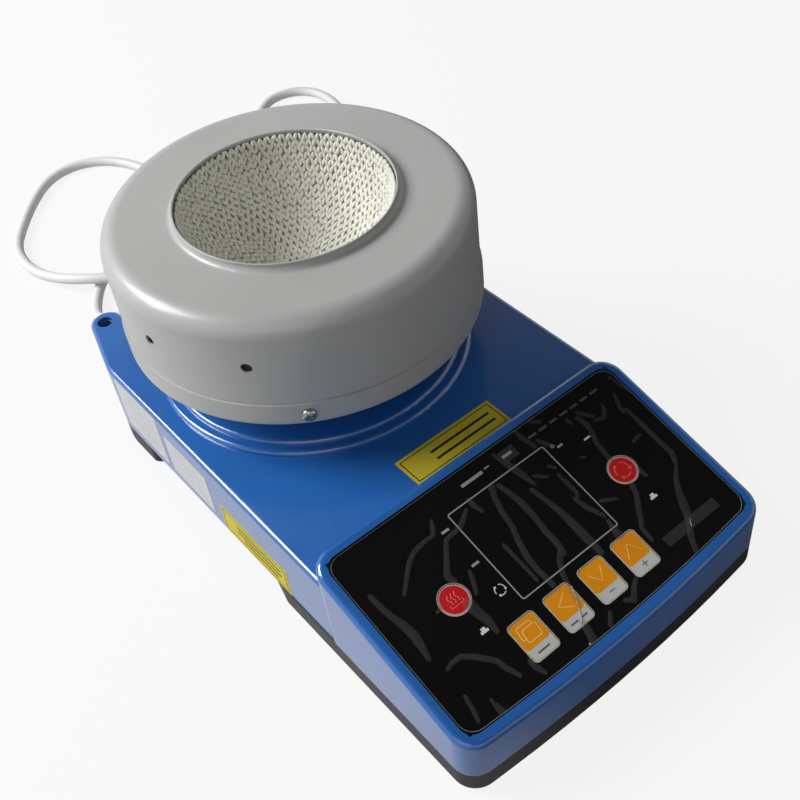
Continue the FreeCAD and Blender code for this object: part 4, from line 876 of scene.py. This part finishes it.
@dataclass
class Film:
    """The clear film over the panel, with the wrinkles that it has taken, sizes in millimetres.

    Attributes:
        wrinkles: For each wrinkle, its points on the panel as (x, y, half width there).
        glint_folds: Sharp folds of the film drawn as pale lines, a painted highlight where they catch the
            light, each with its width and its points.
        cloudiness: Where a crease starts and ends to cloud the film, and how cloudy it is there.
    """

    half_width: float = 88.7
    half_length: float = 48.8
    bow: float = 3.4
    corner: float = 7.0
    edge_line: float = 0.32
    height: float = 0.2 * MM
    line_height: float = 0.06 * MM
    step: float = 0.7
    reach: float = 3.0
    trim: float = 0.02
    cloudiness: Four = (0.02, 0.45, 0.0, 0.18)
    wrinkles: tuple[tuple[Point3, ...], ...] = (
        ((-37, 36.5, 0.9), (-39, 33, 1.2), (-41, 30.5, 1.1), (-47, 30.5, 1.1), (-53, 29.5, 1.3),
         (-58, 27, 1.2), (-63, 22.5, 1.2), (-69.5, 16.5, 1.0)),
        ((-20.5, 31, 0.9), (-25, 28, 1.4), (-29, 26, 1.4), (-35, 25.5, 1.2), (-38, 25, 1.2),
         (-44, 17.5, 1.4), (-49, 11.5, 1.8), (-48.5, 8, 2.2)),
        ((-82, 25, 1.3), (-81.5, 18, 1.6), (-80.5, 12, 1.6), (-79, 6, 2.2), (-78.2, -1, 2.5),
         (-79, -7, 2.0), (-80, -12.5, 1.2)),
        ((-63.5, 1.2, 0.8), (-60, 2, 1.0)),
        ((-39.5, 7, 0.9), (-41, 3, 1.3), (-44, -2.8, 1.0)),
        ((-50, -4.5, 3.2), (-49.6, -10, 2.7), (-48.4, -15, 2.3), (-48.6, -21.5, 1.4)),
        ((-76.5, -21, 0.9), (-73, -20, 1.2), (-68.5, -20.3, 1.2), (-64, -24, 1.5), (-60, -28.5, 1.5),
         (-57.5, -31.5, 1.3), (-56.5, -36, 1.5), (-54, -42.5, 1.0)),
        ((-78.5, -34.5, 0.8), (-79.5, -40, 1.2), (-81, -46, 0.9)),
        ((-71, -42.5, 0.7), (-70.5, -48.5, 1.9)),
        ((-46, -40.5, 1.6), (-46, -44, 1.7), (-44.5, -48.5, 0.9)),
        ((-16.5, 34, 1.5), (-16, 30, 1.5), (-15, 26, 1.0)),
        ((-3, 33, 1.9), (-5.5, 28, 1.6), (-8, 20, 1.6), (-9, 12, 1.5), (-12, 4, 1.6), (-14.3, -5, 1.7),
         (-14.5, -12, 1.5), (-14, -21, 1.7)),
        ((-15.8, -42, 1.8), (-16.5, -46, 2.1), (-18, -51, 2.3)),
        ((2, -10, 1.2), (-1, -12, 1.5), (-4, -15, 1.6), (-7, -20, 1.5), (-8.3, -24, 1.4), (-11, -32, 1.2)),
        ((-3, -46.5, 1.0), (-7, -51, 1.2)),
        ((0, 31, 1.4), (1.5, 25, 1.6), (2.5, 18, 1.9), (2.5, 10, 1.7), (1.5, 0, 1.7), (1.5, -8, 1.9),
         (0.5, -13, 1.4)),
        ((9, 45, 0.9), (10.5, 40, 1.7), (12, 33, 2.3), (13.2, 27, 1.7), (14.2, 21.5, 1.0)),
        ((11, 20, 1.3), (12.6, 12, 1.4), (13.8, 4, 1.7), (14.3, -4, 2.4), (14.3, -12, 2.7),
         (14.5, -23, 1.8)),
        ((16.5, 25, 0.7), (19, 23, 1.0), (22, 20.3, 0.7)),
        ((26, 24.3, 0.8), (28.3, 21.7, 0.8)),
        ((26.5, 18, 0.9), (27, 12, 1.1), (27.3, 6, 1.1), (25.3, 3.5, 0.9)),
        ((24, 4, 1.0), (25.2, -2, 1.6), (27.5, -7.5, 1.3), (29, -11, 0.8)),
        ((33, -4.3, 0.8), (36, -6, 1.0), (39.8, -8, 0.7)),
        ((25.8, 50, 1.0), (26.7, 43, 1.5), (28.3, 36.5, 1.4)),
        ((31.5, 38, 1.0), (33.5, 34, 1.4), (35.5, 31, 0.9)),
        ((36, 47.5, 0.8), (39.8, 45, 0.8)),
        ((51, 38, 0.9), (51.6, 35, 0.9)),
        ((56, 35.5, 1.2), (57.3, 29.5, 1.7), (56, 24.5, 1.5), (53.8, 19, 1.4), (53, 13, 1.5), (53, 9, 1.4)),
        ((58, 38, 0.9), (60.5, 34.5, 1.1), (63.3, 31, 0.8)),
        ((62, 29, 0.8), (67, 27.3, 1.3), (70, 30, 1.1), (71.8, 33.5, 0.8)),
        ((81, 34, 0.8), (79, 30, 1.4), (77.5, 26, 1.2), (77.3, 23.5, 0.8)),
        ((79.3, 24, 1.0), (79.5, 14, 1.5), (79.5, 2, 1.5), (79.7, -7, 1.7), (77, -12.3, 1.1)),
        ((76.7, -13, 0.9), (71, -18, 1.5), (67.3, -23, 1.7), (64, -29, 2.6), (61.5, -34, 2.3),
         (58, -39, 1.6), (54, -43.5, 1.8), (50, -51, 1.3)),
        ((86.3, 43, 0.7), (87, 36, 0.7), (88.2, 30.5, 0.7)),
        ((51.5, -6.5, 1.7), (49.5, -12, 1.5), (44.5, -18.5, 1.6), (41, -23.5, 1.4), (38.6, -26, 1.2),
         (38, -33.5, 1.0)),
        ((60, -4, 1.6), (60.4, -8, 1.1)),
        ((68.7, 8.6, 0.6), (71.5, 9.6, 0.9), (74.5, 9.3, 0.6)),
        ((42.2, 18.4, 0.6), (43.6, 17.2, 0.6)),
        ((28.5, -13.5, 0.9), (28, -18, 1.8), (27.5, -21.5, 2.6)),
        ((18.5, -42, 1.0), (14, -45, 1.4), (10, -49, 1.6), (6.5, -46.5, 1.0)),
        ((-18.6, 7, 0.9), (-18.4, -4, 1.0), (-18.4, -15, 0.9)),
    )
    # painted highlight: each fold below is drawn as a pale line where the film catches the light
    glint_folds: tuple[tuple[float, tuple[Point2, ...]], ...] = (
        (0.4, ((-7.8, -26.5), (-10.3, -32.6), (-12.6, -36.6), (-16.4, -42.4))),
        (0.35, ((60.4, -37.2), (59.2, -38.4), (58.4, -40.2))),
        (0.8, ((-20.7, -51.2), (-19.9, -51.3))),
    )

    def crease(self, x: float, y: float) -> float:
        """How creased the film is at a point of the panel, from 0 to 1."""
        most = 0.0
        for wrinkle in self.wrinkles:
            for (ax, ay, start), (bx, by, end) in zip(wrinkle, wrinkle[1:]):
                if not min(ax, bx) - self.reach <= x <= max(ax, bx) + self.reach:
                    continue
                if not min(ay, by) - self.reach <= y <= max(ay, by) + self.reach:
                    continue
                dx, dy = bx - ax, by - ay
                share = max(0.0, min(1.0, ((x - ax) * dx + (y - ay) * dy) / (dx * dx + dy * dy)))
                gap = math.hypot(x - ax - share * dx, y - ay - share * dy)
                most = max(most, 1.0 - (gap / (start + (end - start) * share)) ** 2)
        return max(0.0, most)

    def edges(self, x: float) -> tuple[float, float]:
        """The film's front and rear edge at a place across the panel."""
        over = max(0.0, abs(x) - (self.half_width - self.corner))
        round_off = self.corner - math.sqrt(max(0.0, self.corner ** 2 - over ** 2))
        front = -self.half_length - self.bow * (1 - (x / self.half_width) ** 2)
        return front + round_off, self.half_length - round_off

    def outline(self) -> list[Point2]:
        """The film's edge as points all round."""
        straight = self.half_width - self.corner
        turns = [math.radians(15 * step) for step in range(6)]
        left = [-straight - self.corner * math.cos(turn) for turn in turns]
        middle = [straight * (step / 6 - 1) for step in range(13)]
        across = left + middle + [-x for x in reversed(left)]
        front = [(x, self.edges(x)[0]) for x in across]
        rear = [(x, self.edges(x)[1]) for x in reversed(across)]
        return front + rear

    def line(self, panel: PanelPlane, points: Sequence[Point2], width: float, closed: bool) -> Piece:
        """A raised line of the film through points on the panel."""
        run = [(x * MM, y * MM) for x, y in points]
        return panel.lay(stroke(run, width * MM, self.line_height, closed), 0.0, 0.0, panel.film_level)

    def build_lines(self, panel: PanelPlane, finishes: Materials) -> None:
        """Makes the film's cut edge and its sharp folds."""
        edge = self.line(panel, self.outline(), self.edge_line, True)
        complete(edge, "film_edge", finishes["film_edge"])
        # the folds get a pale finish as a painted highlight
        glint_folds = [self.line(panel, points, width, False) for width, points in self.glint_folds]
        complete(joined(glint_folds), "painted_glint_folds", finishes["painted_glint_fold"])

    def build(self, panel: PanelPlane, material: bpy.types.Material) -> None:
        """Makes the wrinkled film in place of the flat one."""
        columns = round(2 * self.half_width / self.step)
        rows = round(2 * self.half_length / self.step)
        deselect()
        bpy.ops.mesh.primitive_grid_add(x_subdivisions=columns, y_subdivisions=rows, size=2.0)
        film = bpy.context.object
        values = []
        for vertex in film.data.vertices:
            x = vertex.co.x * (self.half_width - self.trim)
            front, rear = self.edges(x)
            y = front + (rear - front) * (vertex.co.y + 1) / 2
            crease = self.crease(x, y)
            vertex.co = (x * MM, y * MM, self.height * crease)
            values.append(crease)
        layer = film.data.attributes.new("crease", "FLOAT", "POINT")
        layer.data.foreach_set("value", values)
        panel.lay(film, 0.0, 0.0, panel.film_level)
        smooth(film, 60.0)
        complete(film, "wrinkled_film", material)
        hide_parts("protective_film")

    def material(self, effects: Effects) -> bpy.types.Material:
        """The film's finish: clear where it lies flat, and greyish where it has lifted."""
        finish = Finish(
            "film", (98, 98, 98), (124, 124, 124), 0.3, 0.04, bump=0.00002, specular=0.3, tone_scale=110.0
        )
        material = finish.build(effects)
        tree = material.node_tree
        crease = add_node(tree, "ShaderNodeAttribute", attribute_name="crease")
        alpha = eased(tree, crease.outputs["Fac"], self.cloudiness)
        feed(tree, tree.nodes["Principled BSDF"], {"Alpha": alpha})
        return material


@dataclass
class ControlPanel:
    """The console's panel with its keys."""

    row_y: float = -33.2
    first_x: float = -37.45
    pitch: float = 21.47
    round_x: float = 53.7
    round_y: float = 1.1

    def keys(self) -> list[KeyFace]:
        """The six key faces."""
        bar_pair = ((-2.7, -0.1, 4.4, 0.8), (2.9, -0.1, 4.4, 0.8))
        minus = ((0.2, 0.5, 3.4, 0.45),)
        plus = ((0.2, 0.5, 3.4, 0.45), (0.2, 0.5, 0.45, 3.4))
        xs = [self.first_x + self.pitch * step for step in range(4)]
        return [
            KeyFace("set_key", "set_button", xs[0], self.row_y, Sign.SQUARES, ((0.0, -0.1, 6.8, 0.8),)),
            KeyFace("shift_key", "shift_button", xs[1], self.row_y, Sign.LEFT, bar_pair),
            KeyFace("down_key", "down_button", xs[2], self.row_y, Sign.DOWN, minus),
            KeyFace("up_key", "up_button", xs[3], self.row_y, Sign.UP, plus),
            KeyFace("heat_key", "heat_button", -self.round_x, self.round_y, Sign.HEAT),
            KeyFace("stir_key", "stir_button", self.round_x, self.round_y, Sign.TURN),
        ]

    def build(self, finishes: Materials, effects: Effects) -> None:
        """Makes print, keys and film."""
        panel = PanelPlane()
        PanelPrint().build(panel, finishes)
        for key in self.keys():
            key.build(panel, finishes)
        film = Film()
        film.build(panel, film.material(effects))
        film.build_lines(panel, finishes)


# Labels on the housing

class Side(Enum):
    """Where a label is stuck."""

    DECK = "deck"
    LEFT_WALL = "left wall"


@dataclass
class Label:
    """A plain label, sizes in millimetres.

    Attributes:
        name: The label's name.
        side: The face that it is stuck on.
        low: Its corner with the lowest coordinates on that face.
        high: Its opposite corner.
        paper: The finish of its field.
        keyline: How far its thin border line stands in from its edge, or 0 for none.
        rules: Number of faint ruled lines.
        bars: Plain dark bars, as (x, y, width, length) from its middle.
    """

    name: str
    side: Side
    low: Point2
    high: Point2
    paper: str
    keyline: float = 0.0
    rules: int = 0
    bars: tuple[Four, ...] = ()
    level: float = 59.5
    wall: float = -94.5
    corner: float = 0.8
    line: float = 0.55
    line_corner: float = 0.6
    rule: float = 0.5
    rule_widths: tuple[float, ...] = (0.5, 0.76, 0.76)
    rule_reach: float = 0.36
    paper_thick: float = 0.1 * MM
    ink: float = 0.02 * MM

    def put(self, piece: Piece, x: float, y: float, z: float) -> Piece:
        """Puts a flat piece on the label's face, at x and y from its middle and z above it."""
        middle = ((self.low[0] + self.high[0]) / 2 * MM, (self.low[1] + self.high[1]) / 2 * MM)
        shift = Matrix.Translation((x, y, z))
        if self.side is Side.DECK:
            return place(piece, Matrix.Translation((middle[0], middle[1], self.level * MM)) @ shift)
        turn = Matrix.Rotation(math.radians(-90), 4, "Z") @ Matrix.Rotation(math.radians(90), 4, "X")
        return place(piece, Matrix.Translation((self.wall * MM, middle[0], middle[1])) @ turn @ shift)

    def build(self, finishes: Materials) -> None:
        """Makes the label with its line work."""
        width = (self.high[0] - self.low[0]) * MM
        length = (self.high[1] - self.low[1]) * MM
        paper = self.put(rounded_plate(width, length, self.corner * MM, self.paper_thick), 0, 0, 0)
        complete(paper, self.name, finishes[self.paper])
        lines = []
        if self.keyline > 0:
            inset = 2 * self.keyline * MM
            frame = rounded_frame(
                width - inset, length - inset, self.line_corner * MM, self.line * MM, self.ink
            )
            lines.append(self.put(frame, 0, 0, self.paper_thick))
        for x, y, bar_width, bar_length in self.bars:
            bar = rounded_plate(bar_width * MM, bar_length * MM, 0.0, self.ink)
            lines.append(self.put(bar, x * MM, y * MM, self.paper_thick))
        for step in range(self.rules):
            share = self.rule_widths[step % len(self.rule_widths)]
            rule = rounded_plate(width * share, self.rule * MM, 0.0, self.ink)
            y = length * self.rule_reach * (1 - 2 * step / (self.rules - 1))
            lines.append(self.put(rule, 0, y, self.paper_thick))
        ink = "label_ink" if self.keyline > 0 else "label_rule"
        complete(joined(lines), self.name + "_lines", finishes[ink])


# Heating mantle

@dataclass
class KnittedBowl:
    """The bowl's knitted glass cloth, row by row, sizes in millimetres.

    Attributes:
        gauge: Width of one stitch.
        row: Height of one row of stitches.
        rim: How far up the rows go, in degrees from the bottom.
        strand: Half length, half width and half thickness of one strand of a stitch.
        lean: How far the strands lean to each other, in degrees.
        splay: How far a strand lies beside the stitch's middle, as a share of the gauge.
        sunk: How far the strands stand in from the radius.
    """

    centre: Point3 = (0.0, 63.2, 158.7)
    radius: float = 53.9
    gauge: float = 3.9
    row: float = 3.4
    rim: float = 84.0
    strand: Point3 = (2.5, 1.08, 0.8)
    lean: float = 22.0
    splay: float = 0.24
    sunk: float = 0.35
    turn_play: float = 0.012
    lean_play: float = 0.006
    depth_play: float = 0.12
    least_polar: float = 0.03
    least_count: int = 4
    seed: int = 7

    def stitch(self) -> Piece:
        """One stitch: two leaning strands that meet at their feet."""
        strands = []
        for side in (-1, 1):
            deselect()
            bpy.ops.mesh.primitive_uv_sphere_add(segments=8, ring_count=4, radius=1.0)
            strand = bpy.context.object
            strand.scale = [size * MM for size in self.strand]
            bpy.ops.object.transform_apply(location=False, rotation=False, scale=True)
            lean = Matrix.Rotation(math.radians(side * self.lean), 4, "Z")
            beside = Matrix.Translation((0, side * self.gauge * self.splay * MM, 0))
            strands.append(place(strand, beside @ lean))
        return joined(strands)

    def spots(self) -> list[Matrix]:
        """Where each stitch lies on the inside of the bowl."""
        chance = random.Random(self.seed)
        centre = Vector(self.centre) * MM
        rows = int(self.rim / math.degrees(self.row / self.radius))
        step = math.radians(self.rim) / rows
        matrices = []
        for index in range(rows + 1):
            polar = max(self.least_polar, math.radians(self.rim) - step * index)
            around = 2 * math.pi * self.radius * math.sin(polar)
            count = max(self.least_count, round(around / self.gauge))
            for place_index in range(count):
                turn = 2 * math.pi * (place_index + 0.5 * (index % 2)) / count
                turn += chance.uniform(-self.turn_play, self.turn_play)
                lean = polar + chance.uniform(-self.lean_play, self.lean_play)
                across = Vector((math.cos(turn), math.sin(turn), 0.0))
                out = across * math.sin(lean) - Vector((0.0, 0.0, math.cos(lean)))
                down = across * math.cos(lean) + Vector((0.0, 0.0, math.sin(lean)))
                side = out.cross(down)
                depth = self.radius - self.sunk + chance.uniform(-self.depth_play, self.depth_play)
                spot = centre + out * depth * MM
                basis = Matrix((down, side, out)).transposed().to_4x4()
                matrices.append(Matrix.Translation(spot) @ basis)
        return matrices

    def build(self, material: bpy.types.Material) -> None:
        """Makes all stitches as one piece of cloth."""
        sample = self.stitch()
        shape = [vertex.co.copy() for vertex in sample.data.vertices]
        faces = [tuple(polygon.vertices) for polygon in sample.data.polygons]
        vertices = []
        polygons = []
        for matrix in self.spots():
            start = len(vertices)
            vertices.extend(matrix @ point for point in shape)
            polygons.extend(tuple(start + corner for corner in face) for face in faces)
        mesh = bpy.data.meshes.new("knitted_cloth")
        mesh.from_pydata([tuple(vertex) for vertex in vertices], [], polygons)
        cloth = bpy.data.objects.new("knitted_cloth", mesh)
        bpy.context.scene.collection.objects.link(cloth)
        bpy.data.objects.remove(sample)
        tidy_normals(cloth)
        smooth(cloth, 180.0)
        complete(cloth, "knitted_cloth", material)


@dataclass
class CrossScrew:
    """A domed screw head with a cross recess, sizes in millimetres."""

    radius: float = 3.6
    height: float = 2.4
    recess: float = 1.3
    arm: float = 4.0
    slot: float = 0.9
    dome: float = 0.72
    cross_turn: float = 20.0

    def head(self) -> Piece:
        """The head about the origin, with its dome along +Z."""
        deselect()
        bpy.ops.mesh.primitive_cylinder_add(
            vertices=40, radius=self.radius * MM, depth=self.height * MM,
            location=(0, 0, self.height / 2 * MM),
        )
        head = bpy.context.object
        select_vertices(head, lambda vertex: vertex.co.z > 0)
        bpy.ops.object.mode_set(mode="EDIT")
        bpy.ops.mesh.bevel(offset=self.height * self.dome * MM, segments=6, affect="EDGES")
        bpy.ops.object.mode_set(mode="OBJECT")
        bpy.ops.object.transform_apply(location=True, rotation=False, scale=False)
        for turn in (0, 90):
            deselect()
            bpy.ops.mesh.primitive_cube_add(size=1.0)
            cutter = bpy.context.object
            cutter.scale = (self.arm * MM, self.slot * MM, self.recess * 2 * MM)
            cutter.rotation_euler = (0, 0, math.radians(turn + self.cross_turn))
            cutter.location = (0, 0, self.height * MM)
            bpy.ops.object.transform_apply(location=True, rotation=True, scale=True)
            apply_modifier(head, "BOOLEAN", object=cutter, operation="DIFFERENCE", solver="EXACT")
            bpy.data.objects.remove(cutter)
        return head


@dataclass
class Mantle:
    """The round heating mantle, sizes in millimetres."""

    axis: Point2 = (0.0, 63.2)
    band_radius: float = 93.2
    screw_height: float = 98.0
    screw_turns: tuple[float, ...] = (-124.3, -4.3, 115.7)

    def build_screws(self, finishes: Materials) -> None:
        """Makes the three screws round the lower band."""
        heads = []
        for turn in self.screw_turns:
            angle = math.radians(turn)
            out = Vector((math.cos(angle), math.sin(angle), 0))
            spot = (Vector((*self.axis, self.screw_height)) + out * self.band_radius) * MM
            aim = out.to_track_quat("Z", "Y").to_matrix().to_4x4()
            heads.append(place(CrossScrew().head(), Matrix.Translation(spot) @ aim))
        screws = joined(heads)
        smooth(screws, 30.0)
        complete(screws, "mantle_screw_heads", finishes["screw_plating"])
        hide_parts("mantle_screws")

    def build(self, finishes: Materials) -> None:
        """Makes the cloth and the screws."""
        KnittedBowl().build(finishes["cloth_yarn"])
        self.build_screws(finishes)


@dataclass
class RodThread:
    """The thread in the support rod's hole, sizes in millimetres."""

    axis: Point2 = (-76.4, 161.4)
    radius: float = 4.3
    ridge: float = 0.5
    pitch: float = 1.5
    low: float = 31.0
    turns: int = 18
    steps: int = 24

    def build(self, material: bpy.types.Material) -> None:
        """Winds one three-sided ridge up the hole."""
        deselect()
        bpy.ops.mesh.primitive_circle_add(vertices=3, radius=self.ridge * MM, fill_type="NOTHING")
        ridge = bpy.context.object
        stand = Matrix.Rotation(math.radians(90), 4, "X") @ Matrix.Rotation(math.radians(90), 4, "Z")
        place(ridge, Matrix.Translation((self.radius * MM, 0, 0)) @ stand)
        apply_modifier(
            ridge, "SCREW", axis="Z", angle=2 * math.pi, screw_offset=self.pitch * MM, iterations=self.turns,
            steps=self.steps, render_steps=self.steps,
        )
        tidy_normals(ridge)
        place(ridge, Matrix.Translation((self.axis[0] * MM, self.axis[1] * MM, self.low * MM)))
        complete(ridge, "rod_thread", material)


# Mains cord

@dataclass
class Cord:
    """The light grey mains cord with its put-away coil, sizes in millimetres."""

    radius: float = 3.5
    length: float = 1.5
    route: tuple[Point3, ...] = (
        (-49.3, 180, 23.5), (-49.3, 194, 23.5), (-55, 209, 20), (-60.5, 222, 13), (-58, 237, 6.5),
        (-50.5, 252, 4), (-41, 265, 3.7), (-24, 281, 3.7), (-2, 296, 3.7), (22, 308, 3.7), (43, 324, 3.7),
        (53, 349, 3.7), (46.5, 377, 3.7), (33.5, 397.5, 3.7), (13, 408.2, 3.7), (-9, 404.6, 3.7),
        (-28.5, 388.5, 3.7), (-47.5, 367, 3.7), (-64.5, 343.5, 3.7), (-67.5, 314.5, 4), (-60.5, 289, 7.5),
        (-48.5, 268.5, 11.6), (-33.5, 255, 11.6), (-15.5, 241.5, 9.5), (8, 228, 5), (38, 217, 3.7),
        (74, 208.5, 3.7), (112, 210, 3.7), (146, 226, 3.7), (172, 254, 3.7), (187, 283, 3.7),
        (197, 308, 3.7), (202.6, 327, 3.7), (204, 340.7, 3.7), (201.6, 355, 3.7), (193, 366.3, 3.7),
        (179.6, 371.7, 3.7), (165.2, 369.9, 3.7), (147, 355.5, 3.7), (126, 336.5, 3.7), (106.6, 323.2, 3.7),
    )
    tail: tuple[Point3, ...] = (
        (132.3, 327.3, 10.8), (114.5, 330.8, 10.8), (96.5, 330, 11.8),
        (81, 321, 13.8), (71, 306, 15.1), (62.5, 290, 15.1),
    )
    coil_centre: Point2 = (125.0, 290.0)
    coil_radius: float = 38.0
    coil_start: float = 119.0
    coil_turn: float = 685.7
    coil_rise: tuple[float, float] = (285.0, 350.0)
    lower: float = 3.7
    upper: float = 10.8
    coil_steps: int = 30

    def coil(self) -> list[Point3]:
        """The coil's points: one turn on the table and the next on top of it."""
        step = self.coil_turn / self.coil_steps
        reach = self.coil_radius / math.cos(math.radians(step / 2))
        points = []
        for index in range(1, self.coil_steps):
            turn = index * step
            start, end = self.coil_rise
            share = max(0.0, min(1.0, (turn - start) / (end - start)))
            height = self.lower + (self.upper - self.lower) * share
            angle = math.radians(self.coil_start + turn)
            middle_x, middle_y = self.coil_centre
            points.append((middle_x + reach * math.cos(angle), middle_y + reach * math.sin(angle), height))
        return points

    def build(self, material: bpy.types.Material) -> None:
        """Makes the cord as one spline from the outlet to the plug."""
        points = list(self.route) + self.coil() + list(self.tail)
        lead = tube("mains_lead", "NURBS", [Vector(point) * MM for point in points], self.radius * MM)
        lead.data.bevel_resolution = 5
        lead.data.resolution_u = 8
        spline = lead.data.splines[0]
        spline.order_u = 3
        spline.use_endpoint_u = True
        complete(lead, "mains_lead", material)
        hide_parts("mains_cord", "cord_coil", "cord_tail")


# Studio

@dataclass
class Studio:
    """Camera, floor and light.

    Attributes:
        floor_white: Share of plain white that the camera sees in the floor.
        window_side: The way across the floor towards the window.
        painted_floor_reflection: The floor's brightness in gloss, a painted reflection that is brighter
            towards the window: where it starts and ends, and its two levels.
        backdrop: The surroundings' brightness in gloss by height: start, end and its two levels.
        surround: Strength of the soft light from all sides.
        target: Where the lamps aim.
        lamps: Name, place, size and power of each lamp.
    """

    lens: float = 51.27
    sensor: float = 36.0
    floor_size: float = 14.0
    shift: Point2 = (-0.0436, 0.0021)
    place: Point3 = (-0.2205, -0.3462, 0.4739)
    azimuth: float = -35.79
    elevation: float = 45.73
    roll: float = -6.55
    floor_white: float = 0.86
    floor_colour: Four = (0.62, 0.62, 0.62, 1.0)
    window_side: Point3 = (-0.81, 0.585, 0.0)
    target: Point3 = (0.0, 0.02, 0.05)
    lamps: tuple[tuple[str, Point3, float, float], ...] = (
        ("window", (-1.04, 1.04, 1.22), 0.9, 39.0), ("fill", (-1.0, -0.9, 1.2), 1.0, 3.0),
    )
    # painted reflection: gloss sees the floor glow brighter towards the window
    painted_floor_reflection: Four = (-0.1, 0.03, 0.07, 0.62)
    backdrop: Four = (0.5, 0.72, 0.95, 0.1)
    surround: float = 0.18

    def build_camera(self) -> None:
        """Puts the camera at the photograph's viewing angle."""
        azimuth, elevation, roll = (math.radians(v) for v in (self.azimuth, self.elevation, self.roll))
        level = Vector((math.sin(azimuth), -math.cos(azimuth), 0))
        back = level * math.cos(elevation) + Vector((0, 0, math.sin(elevation)))
        right = Vector((0, 0, 1)).cross(back).normalized()
        up = back.cross(right)
        turned_right = right * math.cos(roll) + up * math.sin(roll)
        turned_up = up * math.cos(roll) - right * math.sin(roll)
        data = bpy.data.cameras.new("camera")
        data.lens = self.lens
        data.sensor_width = self.sensor
        data.shift_x, data.shift_y = self.shift
        data.clip_start = 0.01
        camera = bpy.data.objects.new("camera", data)
        bpy.context.scene.collection.objects.link(camera)
        basis = Matrix((turned_right, turned_up, back)).transposed().to_4x4()
        camera.matrix_world = Matrix.Translation(self.place) @ basis
        bpy.context.scene.camera = camera

    def build_floor(self) -> None:
        """Makes the pale floor, whose mirror image in gloss is brighter towards the window."""
        deselect()
        bpy.ops.mesh.primitive_plane_add(size=self.floor_size, location=(0, 0, 0))
        floor = bpy.context.object
        floor.name = "floor"
        material = bpy.data.materials.new("floor")
        material.use_nodes = True
        tree = material.node_tree
        shader = tree.nodes["Principled BSDF"]
        matt = {"Base Color": self.floor_colour, "Roughness": 0.9, "Specular IOR Level": 0.1}
        feed(tree, shader, matt)
        spot = add_node(tree, "ShaderNodeTexCoord").outputs["Object"]
        sides = {0: spot, 1: self.window_side}
        across = add_node(tree, "ShaderNodeVectorMath", sides, operation="DOT_PRODUCT").outputs["Value"]
        # painted reflection: the floor glows for gloss only, brighter towards the window
        painted_glow = add_node(tree, "ShaderNodeEmission", {"Strength": eased(tree, across, self.painted_floor_reflection)})
        white = add_node(tree, "ShaderNodeEmission", {"Strength": 1.0})
        surface = by_ray(tree, shader.outputs[0], painted_glow.outputs[0], white.outputs[0], self.floor_white)
        feed(tree, tree.nodes["Material Output"], {"Surface": surface})
        floor.data.materials.append(material)

    def build_world(self) -> None:
        """Makes a soft surrounding light, pale to the camera and a low bright backdrop to gloss."""
        world = bpy.data.worlds.new("world")
        bpy.context.scene.world = world
        world.use_nodes = True
        tree = world.node_tree
        soft = tree.nodes["Background"]
        feed(tree, soft, {"Color": (1.0, 1.0, 1.0, 1.0), "Strength": self.surround})
        spot = add_node(tree, "ShaderNodeTexCoord").outputs["Generated"]
        height = add_node(tree, "ShaderNodeSeparateXYZ", {0: spot}).outputs["Z"]
        backdrop = add_node(tree, "ShaderNodeBackground", {"Strength": eased(tree, height, self.backdrop)})
        pale = add_node(tree, "ShaderNodeBackground", {"Strength": 1.0})
        surface = by_ray(tree, soft.outputs[0], backdrop.outputs[0], pale.outputs[0], 1.0)
        feed(tree, tree.nodes["World Output"], {"Surface": surface})

    def build_lamp(self, name: str, spot: Point3, size: float, power: float) -> None:
        """Makes a soft lamp that aims at the object.

        Args:
            name: The lamp's name.
            spot: Where it hangs.
            size: Side of its square face.
            power: Its power in watts.
        """
        data = bpy.data.lights.new(name, "AREA")
        data.size = size
        data.energy = power
        lamp = bpy.data.objects.new(name, data)
        bpy.context.scene.collection.objects.link(lamp)
        lamp.location = spot
        aim = Vector(self.target) - Vector(spot)
        lamp.rotation_mode = "QUATERNION"
        lamp.rotation_quaternion = aim.to_track_quat("-Z", "Y")

    def build(self) -> None:
        """Makes everything round the object."""
        bpy.context.scene.view_settings.view_transform = "Standard"
        self.build_camera()
        self.build_floor()
        self.build_world()
        for lamp in self.lamps:
            self.build_lamp(*lamp)


def dress_nodes(nodes: dict[str, Piece], finishes: Materials) -> None:
    """Gives every CAD node its finish.

    Args:
        nodes: The CAD nodes by name.
        finishes: The finished materials by name.
    """
    for name, node in nodes.items():
        node.data.materials.clear()
        node.data.materials.append(finishes[NODE_FINISHES[name]])


LABELS = (
    Label("deck_label", Side.DECK, (-25.5, -55.5), (35.0, -36.5), "label_yellow", keyline=1.6,
          bars=((6.0, 2.6, 38.0, 1.5), (6.0, -2.6, 38.0, 1.5))),
    Label("side_label", Side.LEFT_WALL, (-35.0, 15.6), (23.0, 35.5), "label_yellow", keyline=1.6,
          bars=((4.0, 4.0, 38.0, 1.3), (4.0, 0.0, 38.0, 1.3), (4.0, -4.0, 30.0, 1.3))),
    Label("rating_label", Side.LEFT_WALL, (32.0, 20.5), (73.0, 47.5), "label_white", rules=6),
    Label("service_label", Side.LEFT_WALL, (78.0, 20.5), (121.0, 56.0), "label_white", rules=7),
)


def main() -> None:
    """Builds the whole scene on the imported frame."""
    logging.basicConfig(level=logging.INFO, format="%(name)s %(message)s")
    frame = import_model()
    Studio().build()
    effects = Effects()
    finishes = {name: finish.build(effects) for name, finish in FINISHES.items()}
    dress_nodes(frame["nodes"], finishes)
    Cord().build(finishes["cord_cover"])
    ControlPanel().build(finishes, effects)
    for label in LABELS:
        label.build(finishes)
    Mantle().build(finishes)
    RodThread().build(finishes["thread_steel"])


if __name__ == "__main__":
    main()
